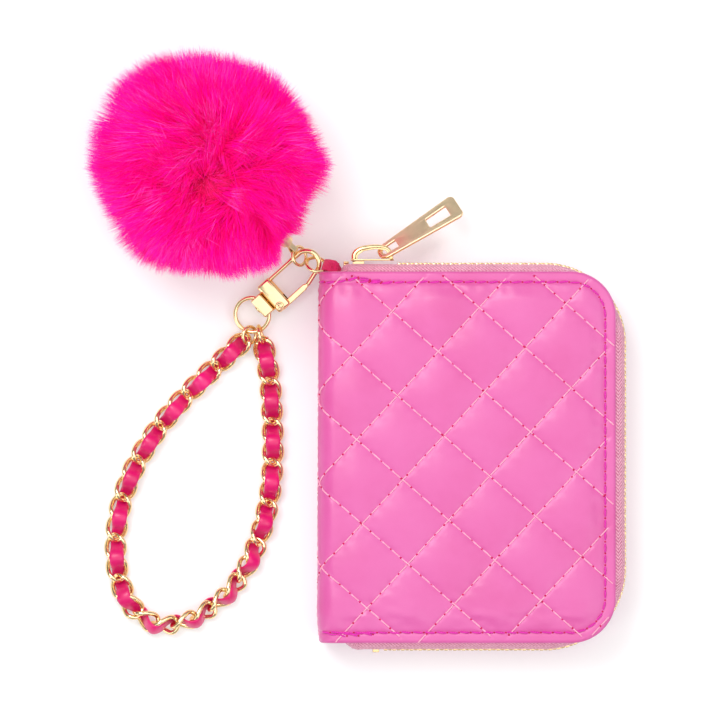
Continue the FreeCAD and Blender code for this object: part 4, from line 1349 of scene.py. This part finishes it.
def link_path(i):
    a, b = C3[i], C3[i + 1]
    tx = unit(b - a)
    _, w, f = strap_axes(i + 0.5)
    w = unit(w - tx * w.dot(tx))
    f = np.cross(tx, w)
    mid = (a + b) / 2
    x, y = [], []
    for s in np.linspace(-RUN, RUN, 8):
        x.append(s)
        y.append(LR)
    for t in np.linspace(0, math.pi, 22)[1:-1]:
        x.append(RUN + LR * math.sin(t))
        y.append(LR * math.cos(t))
    for s in np.linspace(RUN, -RUN, 8):
        x.append(s)
        y.append(-LR)
    for t in np.linspace(0, math.pi, 22)[1:-1]:
        x.append(-RUN - LR * math.sin(t))
        y.append(-LR * math.cos(t))
    x, y = np.array(x), np.array(y)
    tw = -L_TILT * np.clip(x / (HALF - 1.1), -1, 1)
    return mid + x[:, None] * tx + (y * np.cos(tw))[:, None] * w + (y * np.sin(tw))[:, None] * f


STRAP_LINKS = ((list(range(0, 4)), list(range(32, 34))), (list(range(4, 8)), list(range(28, 32))),
               (list(range(8, 12)), list(range(24, 28))), (list(range(12, 24)),))
RW, RT, RH = 4.3, 0.6, 2.2


def ribbon_rows(first, last):
    """Soft strip over the odd crossings and under the even ones."""
    us = np.linspace(first + (0.16 if first else -0.12), last - (0.16 if last < 34 else -0.12), int((last - first) * 12) + 1)
    rows, uvs = [], []
    cu = np.linspace(-1, 1, 9)
    for u in us:
        ph = math.cos(math.pi * u)
        hgt = -RH * np.sign(ph) * abs(ph) ** 0.68
        slope = 0.35
        t, w, f = strap_axes(float(np.clip(u, 0, 33.999)))
        c = centre(float(np.clip(u, 0, 33.999))) + t * PITCH * (u - np.clip(u, 0, 33.999))
        c = c + w * 0.5 * (1 - sstep(11.5, 15.5, u)) * sstep(0, 2, u)
        pinch = 1 - 0.17 * (1 - abs(ph)) - 0.10 * (ph > 0) * abs(ph)
        half = RW / 2 * pinch
        crown = 0.34 * np.sign(-ph) * abs(ph) * (1 - cu ** 2)
        top = [c + w * half * k + f * (hgt + cr) for k, cr in zip(cu, crown)]
        # thickness along the strip's own normal
        dh = RH * math.pi * math.sin(math.pi * u) / PITCH
        nrm = unit(f - t * dh)
        up = [p + nrm * RT / 2 * (1 - 0.35 * abs(k) ** 6) for p, k in zip(top, cu)]
        dn = [p - nrm * RT / 2 * (1 - 0.35 * abs(k) ** 6) for p, k in zip(top, cu)][::-1]
        side_a = [(up[-1] + dn[0]) / 2 + w * 0.08]
        side_b = [(up[0] + dn[-1]) / 2 - w * 0.08]
        rows.append(up + side_a + dn + side_b)
        uvs.append(u * PITCH)
    n = len(rows[0])
    v = np.array(rows).reshape(-1, 3)
    q = grid_quads(len(rows), n, True)
    caps = []
    for b in (0, (len(rows) - 1) * n):
        for k in range(8):
            caps.append([b + k, b + k + 1, b + 17 - k, b + 18 - k])
    mat = np.zeros(len(q), int)
    mat[(np.arange(len(q)) % n == 8) | (np.arange(len(q)) % n == 9) | (np.arange(len(q)) % n >= 18)] = 1
    return v, q, mat, np.array(caps)


for k, runs in enumerate(STRAP_LINKS):
    P, R = Parts(), Parts()
    for r in runs:
        for i in r:
            v, q, t = tube(link_path(i), LW, closed=True, sides=14)
            P.add(v, q)
        v, q, mt, caps = ribbon_rows(r[0], r[-1] + 1)
        R.add(v, q[mt == 0], None, 0)
        R.q.append(q[mt == 1] + R.n - len(v))
        R.mq.append(np.ones((mt == 1).sum(), int))
        R.q.append(caps + R.n - len(v))
        R.mq.append(np.ones(len(caps), int))
    links = P.make("curb_links_%d" % (k + 1), [M_GOLD])
    rib = R.make("woven_ribbon_%d" % (k + 1), [M_RIBBON, M_RIBBON_EDGE])
    bm = bmesh.new()
    bm.from_mesh(rib.data)
    bmesh.ops.recalc_face_normals(bm, faces=bm.faces)
    bm.to_mesh(rib.data)
    bm.free()
    for o, src, sl in ((links, "strap_links_%d", "gold"), (rib, "strap_ribbon_%d", "ribbon")):
        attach(o, "strap_%d" % (k + 1))
        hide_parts(src % (k + 1))

# ==================================================================== pom
POM_C = np.array([-43.7, 55.5, 33.0])
POLE = unit(np.array([0.06, 0.02, 1.0]))
FUR = {}
# reach of the pile round the ball, every 15 degrees, in millimetres
CLEFTS = ((9.5, 14.5, 4.6, 3.6, 2.3, 6.0), (4.6, 3.6, 7.6, -3.0, 1.9, 4.2), (-3.0, -2.4, -7.0, -3.8, 1.6, 3.2), (13.0, -17.0, 16.0, -24.0, 1.8, 3.0))
OUTLINE = np.array([33.9, 32.0, 31.5, 31.8, 33.0, 32.4, 33.0, 34.8, 36.3, 37.6, 37.8, 37.2, 36.6, 35.6, 35.7, 35.9, 34.6, 33.9, 33.4,
                    34.0, 34.4, 32.6, 32.0, 33.4])
# hair shades from root to tip; the darker deep and root hues paint the shade deep in the pile
for key, col in (("deep", (206, 0, 96)), ("root", (250, 0, 140)), ("mid_a", (255, 0, 166)), ("mid_b", (255, 0, 178)),
                 ("mid_c", (252, 0, 150)), ("tip_a", (255, 0, 184)), ("tip_b", (255, 14, 190)), ("tip_c", (255, 80, 208))):
    m, nt, p = material("fur_" + key, 0.5, 0.0, lin(*col))
    p.inputs["Specular IOR Level"].default_value = 0.2
    # each hair shade also glows faintly in its own colour: painted light in the pile
    p.inputs["Emission Color"].default_value = lin(*col)
    p.inputs["Emission Strength"].default_value = 0.10
    p.inputs["Sheen Weight"].default_value = 0.15
    p.inputs["Sheen Roughness"].default_value = 0.4
    p.inputs["Sheen Tint"].default_value = (1, 0.35, 0.75, 1)
    FUR[key] = m
FUR_MATS = list(FUR.values())


def fibonacci(n, jitter, rng):
    i = np.arange(n) + 0.5
    z = 1 - 2 * i / n
    a = math.pi * (1 + 5 ** 0.5) * i
    v = np.column_stack([np.cos(a) * np.sqrt(1 - z * z), np.sin(a) * np.sqrt(1 - z * z), z])
    return unit(v + rng.normal(0, jitter, v.shape))


def nearest(d, centres, block=4000):
    out = np.empty(len(d), int)
    for i in range(0, len(d), block):
        out[i:i + block] = (d[i:i + block] @ centres.T).argmax(1)
    return out


def sph_noise(d, seed, waves=7, freq=2.4):
    g = np.random.default_rng(seed)
    out = np.zeros(len(d))
    for _ in range(waves):
        k = g.normal(0, freq, 3)
        out += np.sin(d @ k + g.uniform(0, 6.28))
    return out / math.sqrt(waves) / 1.3


def swept(d, amount):
    """Turns directions away from the pole, most near the pole itself."""
    c = np.clip(d @ POLE, -1, 1)
    th = np.arccos(c)
    side = d - c[:, None] * POLE
    side = unit(side)
    th2 = th + amount
    return np.cos(th2)[:, None] * POLE + np.sin(th2)[:, None] * side


def fur_piece(name, count, seed, r0, r1, width, keep=None, taper=1.0, mats=FUR_MATS):
    g = np.random.default_rng(seed)
    d = fibonacci(count, 0.02, g)
    tufts = fibonacci(120, 0.10, np.random.default_rng(100))
    locks = fibonacci(1500, 0.03, np.random.default_rng(101))
    tb, lk = nearest(d, tufts), nearest(d, locks)
    th = np.arccos(np.clip(d @ POLE, -1, 1))
    push = 0.05 * np.exp(-(th / 0.75) ** 2) + 0.05 * np.exp(-((th - 1.4) / 0.5) ** 2)
    end = unit(d * 0.62 + locks[lk] * 0.26 + tufts[tb] * 0.12)
    tg = np.random.default_rng(102)
    end = unit(end + tg.normal(0, 0.13, tufts.shape)[tb] + tg.normal(0, 0.085, locks.shape)[lk])
    end = swept(end, push * g.uniform(0.75, 1.2, count))
    swirl = np.cross(POLE, end) * (0.10 * sph_noise(d, 31, 5, 1.6))[:, None]
    end = unit(end + swirl + g.normal(0, 0.060, d.shape))
    length = r1 + 0.9 * sph_noise(d, 32, 8, 3.0) + 0.55 * np.random.default_rng(55).normal(0, 1, len(locks))[lk]
    length = length + g.normal(0, 0.7, count) - 2.6 * g.uniform(0, 1, count) ** 3
    lift = np.random.default_rng(56).normal(0, 1, len(tufts))[tb]
    length = length + 1.5 * lift
    # partings in the pile over the crown, darkened along them as painted shade (shade)
    shade = np.zeros(count)
    for ax, ay, bx, by, wd, dp in CLEFTS:
        p2, q2 = end[:, :2] * 33.0, np.array([bx - ax, by - ay])
        tt = np.clip(((p2 - [ax, ay]) @ q2) / (q2 @ q2), 0, 1)
        away = p2 - ([ax, ay] + tt[:, None] * q2)
        ds = np.hypot(away[:, 0], away[:, 1])
        near = np.exp(-(ds / wd) ** 2) * (end[:, 2] > 0)
        length = length - dp * near
        shade = np.maximum(shade, np.exp(-(ds / (wd * 1.1)) ** 2) * (end[:, 2] > 0))
        end[:, :2] += away / (ds[:, None] + 0.5) * (0.15 * near)[:, None]
        end = unit(end)
    mid = unit(d * 0.62 + end * 0.38)
    mid2 = unit(d * 0.28 + end * 0.72)
    az_ = np.mod(np.arctan2(end[:, 1], end[:, 0]), 2 * math.pi) / (2 * math.pi) * 24
    flat_ = np.hypot(end[:, 0], end[:, 1])
    ratio = np.interp(az_, np.arange(25), np.append(OUTLINE, OUTLINE[0])) / 34.6
    length = length * (1 + (ratio - 1) * flat_ ** 2)
    # the pile is parted where the cap and bail come out
    gap = (az_ * 15 - 313.5 + 180) % 360 - 180
    limit = np.interp(az_, np.arange(25), np.append(OUTLINE, OUTLINE[0])) + 2.0 - 3.6 * np.exp(-(gap / 7.5) ** 4)
    limit = limit + g.normal(0, 0.7, count)
    length = np.minimum(length, limit / np.maximum(flat_, 0.2))
    k = np.arange(count)
    if keep is not None:
        k = k[keep(end, length)]
    d, end, mid, mid2, length, lk, tb, shade = d[k], end[k], mid[k], mid2[k], length[k], lk[k], tb[k], shade[k]
    n = len(k)
    p0 = POM_C + d * r0
    p1 = POM_C + mid * (r0 + (length - r0) * 0.40)[:, None]
    p2 = POM_C + mid2 * (r0 + (length - r0) * 0.74)[:, None]
    p3 = POM_C + end * length[:, None]
    p3[:, 2] = np.where(p3[:, 2] < 0.35, 0.35 + 0.05 * g.uniform(0, 1, n), p3[:, 2])
    p2[:, 2] = np.maximum(p2[:, 2], 0.6)
    rnd = unit(g.normal(0, 1, d.shape))
    side = unit(np.cross(end, rnd))
    w = width * g.uniform(0.7, 1.25, n)[:, None]
    v = np.stack([p0 - side * w * 0.9, p0 + side * w * 0.9, p1 - side * w, p1 + side * w,
                  p2 - side * w * 0.72 * taper, p2 + side * w * 0.72 * taper, p3], 1)
    b = (np.arange(n) * 7)[:, None]
    q1 = b + [0, 1, 3, 2]
    q2 = b + [2, 3, 5, 4]
    t = b + [4, 5, 6]
    # tone varies at random by lock and strand, and is lowered along the partings as painted shade
    tone = np.clip(0.5 + 0.30 * np.random.default_rng(77).normal(0, 1, 1500)[lk] + 0.22 * g.normal(0, 1, n)
                   + 0.20 * sph_noise(d, 78, 6, 2.2) - 0.55 * shade, 0, 1)
    # root faces take the darker hues: painted shade towards the roots; tips take the paler ones
    m1 = np.where(tone < 0.5, 0, 1)
    m2 = np.where(tone < 0.28, 1, np.where(tone < 0.5, 4, np.where(tone < 0.78, 2, 3)))
    m3 = np.where(tone < 0.25, 4, np.where(tone < 0.55, 3, np.where(tone < 0.80, 5, np.where(tone < 0.955, 6, 7))))
    return build(name, v.reshape(-1, 3), np.concatenate([q1, q2]), t, mats,
                 np.concatenate([m1, m2]), m3, smooth=True)


def clear_of_metal(end, length):
    """No hair where the cap and clasp come out."""
    cap = unit(np.array([-21.87, 32.49, 9.99]) - POM_C)
    return (end @ cap) < 0.955


for i, (cnt, seed, r0, r1, wd) in enumerate(((21000, 11, 14.3, 35.2, 0.15), (21000, 12, 14.3, 34.6, 0.15),
                                             (21000, 13, 14.3, 35.6, 0.13), (15000, 14, 14.3, 30.5, 0.20))):
    ob = fur_piece("fur_pile_%d" % (i + 1), cnt, seed, r0, r1, wd, clear_of_metal)
    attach(ob, "pom")
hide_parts("pom_fur")

# dense underfur: a lumpy shaggy shell that closes the pile; its pinks, darker than the pile's, paint the shade deep
# within it
d = fibonacci(9000, 0.0, RNG)
bm = bmesh.new()
bmesh.ops.create_icosphere(bm, subdivisions=6, radius=1.0)
dv = np.array([x.co[:] for x in bm.verts])
rad = 23.0 + 1.5 * sph_noise(dv, 41, 9, 5.0) + 0.9 * sph_noise(dv, 42, 12, 14.0)
for px, py in ((0.16, 0.20), (-0.16, -0.06)):
    pit = unit(np.array([px, py, 1.0]))
    rad = rad - 3.0 * np.exp(-((1 - dv @ pit) / 0.015))
cap = unit(np.array([-21.87, 32.49, 9.99]) - POM_C)
rad = rad - 3.0 * np.exp(-((1 - dv @ cap) / 0.02))
pts = POM_C + dv * rad[:, None]
m_under, nt, p = material("underfur", 0.9)
v_ = coords(nt)
nt.links.new(ramp(nt, noise(nt, v_, 900, 4), [(0.3, lin(206, 0, 96)), (0.55, lin(240, 0, 124)), (0.8, lin(255, 0, 146))]),
             p.inputs["Base Color"])
bump(nt, p, noise(nt, v_, 1600, 3), 0.8, 0.0004)
faces = np.array([[x.index for x in f.verts] for f in bm.faces])
bm.free()
under = build("underfur_mass", pts, None, faces, [m_under])
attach(under, "pom")

# hide sphere that the pile grows from, and its gathered stitching at the cap
bm = bmesh.new()
bmesh.ops.create_icosphere(bm, subdivisions=5, radius=1.0)
dv = np.array([x.co[:] for x in bm.verts])
faces = np.array([[x.index for x in f.verts] for f in bm.faces])
bm.free()
pucker = np.exp(-((1 - dv @ cap) / 0.15))
azi = np.arctan2(dv @ np.cross(cap, [0, 0, 1.0]), dv @ np.cross(cap, np.cross(cap, [0, 0, 1.0])))
rad = 13.9 + 0.15 * sph_noise(dv, 43, 8, 6) - 0.5 * pucker * (0.5 + 0.5 * np.sin(azi * 14))
hide = build("stuffed_core", POM_C + dv * rad[:, None], None, faces, [M_HIDE])
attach(hide, "pom")
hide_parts("pom_core")

# ------------------------------------------------------- inside the wallet
for n_, m_ in (("front_foam_padding", M_FOAM), ("back_foam_padding", M_FOAM), ("front_stiffener_board", M_BOARD),
               ("back_stiffener_board", M_BOARD), ("front_lining", M_LINING), ("back_lining", M_LINING),
               ("front_card_slots", M_CARDS), ("back_card_slots", M_CARDS), ("coin_pocket", M_LINING), ("pom_cord", M_CORD)):
    paint(n_, m_)

# ================================================================== stage
floor_m, nt, p = material("floor", 0.9, 0.0, (0.80, 0.80, 0.805, 1))
p.inputs["Emission Color"].default_value = (0.97, 1.0, 0.99, 1)
p.inputs["Emission Strength"].default_value = 0.22
floor = build("floor", np.array([(-3000, -3000, 0), (3000, -3000, 0), (3000, 3000, 0), (-3000, 3000, 0)]) - [0, 0, 0.02],
              [[0, 1, 2, 3]], None, [floor_m], smooth=False)


def area(name, loc, size, power, col=(1, 1, 1), target=(0, 0, 0.01), size_y=None):
    d = bpy.data.lights.new(name, "AREA")
    d.energy, d.color, d.size = power, col, size
    if size_y:
        d.shape, d.size_y = "RECTANGLE", size_y
    o = bpy.data.objects.new(name, d)
    sc.collection.objects.link(o)
    o.location = loc
    o.rotation_mode = "QUATERNION"
    o.rotation_quaternion = (Vector(target) - Vector(loc)).to_track_quat("-Z", "Y")
    return o


area("key", (-0.35, 0.45, 0.95), 0.55, 5.4)
area("fill", (0.75, -0.35, 0.75), 0.9, 2.4)
area("side_strip", (-0.8, -0.5, 0.35), 0.25, 1.6, (1, 0.98, 0.95), size_y=0.9)
area("overhead", (0.1, 0.0, 1.4), 2.0, 14.0)

world = bpy.data.worlds.new("studio")
sc.world = world
world.use_nodes = True
nt = world.node_tree
bg = nt.nodes["Background"]
tc = nt.nodes.new("ShaderNodeTexCoord")
sep = nt.nodes.new("ShaderNodeSeparateXYZ")
nt.links.new(tc.outputs["Generated"], sep.inputs[0])
cr = nt.nodes.new("ShaderNodeValToRGB")
e = cr.color_ramp.elements
e[0].position, e[0].color = 0.0, (0.40, 0.38, 0.37, 1)
e[1].position, e[1].color = 1.0, (1.0, 1.0, 1.0, 1)
for pos, c in ((0.12, (0.28, 0.26, 0.26, 1)), (0.35, (0.70, 0.70, 0.72, 1)), (0.7, (0.9, 0.9, 0.9, 1))):
    x = e.new(pos)
    x.color = c
nt.links.new(sep.outputs[2], cr.inputs["Fac"])
nt.links.new(cr.outputs["Color"], bg.inputs["Color"])
bg.inputs["Strength"].default_value = 0.42
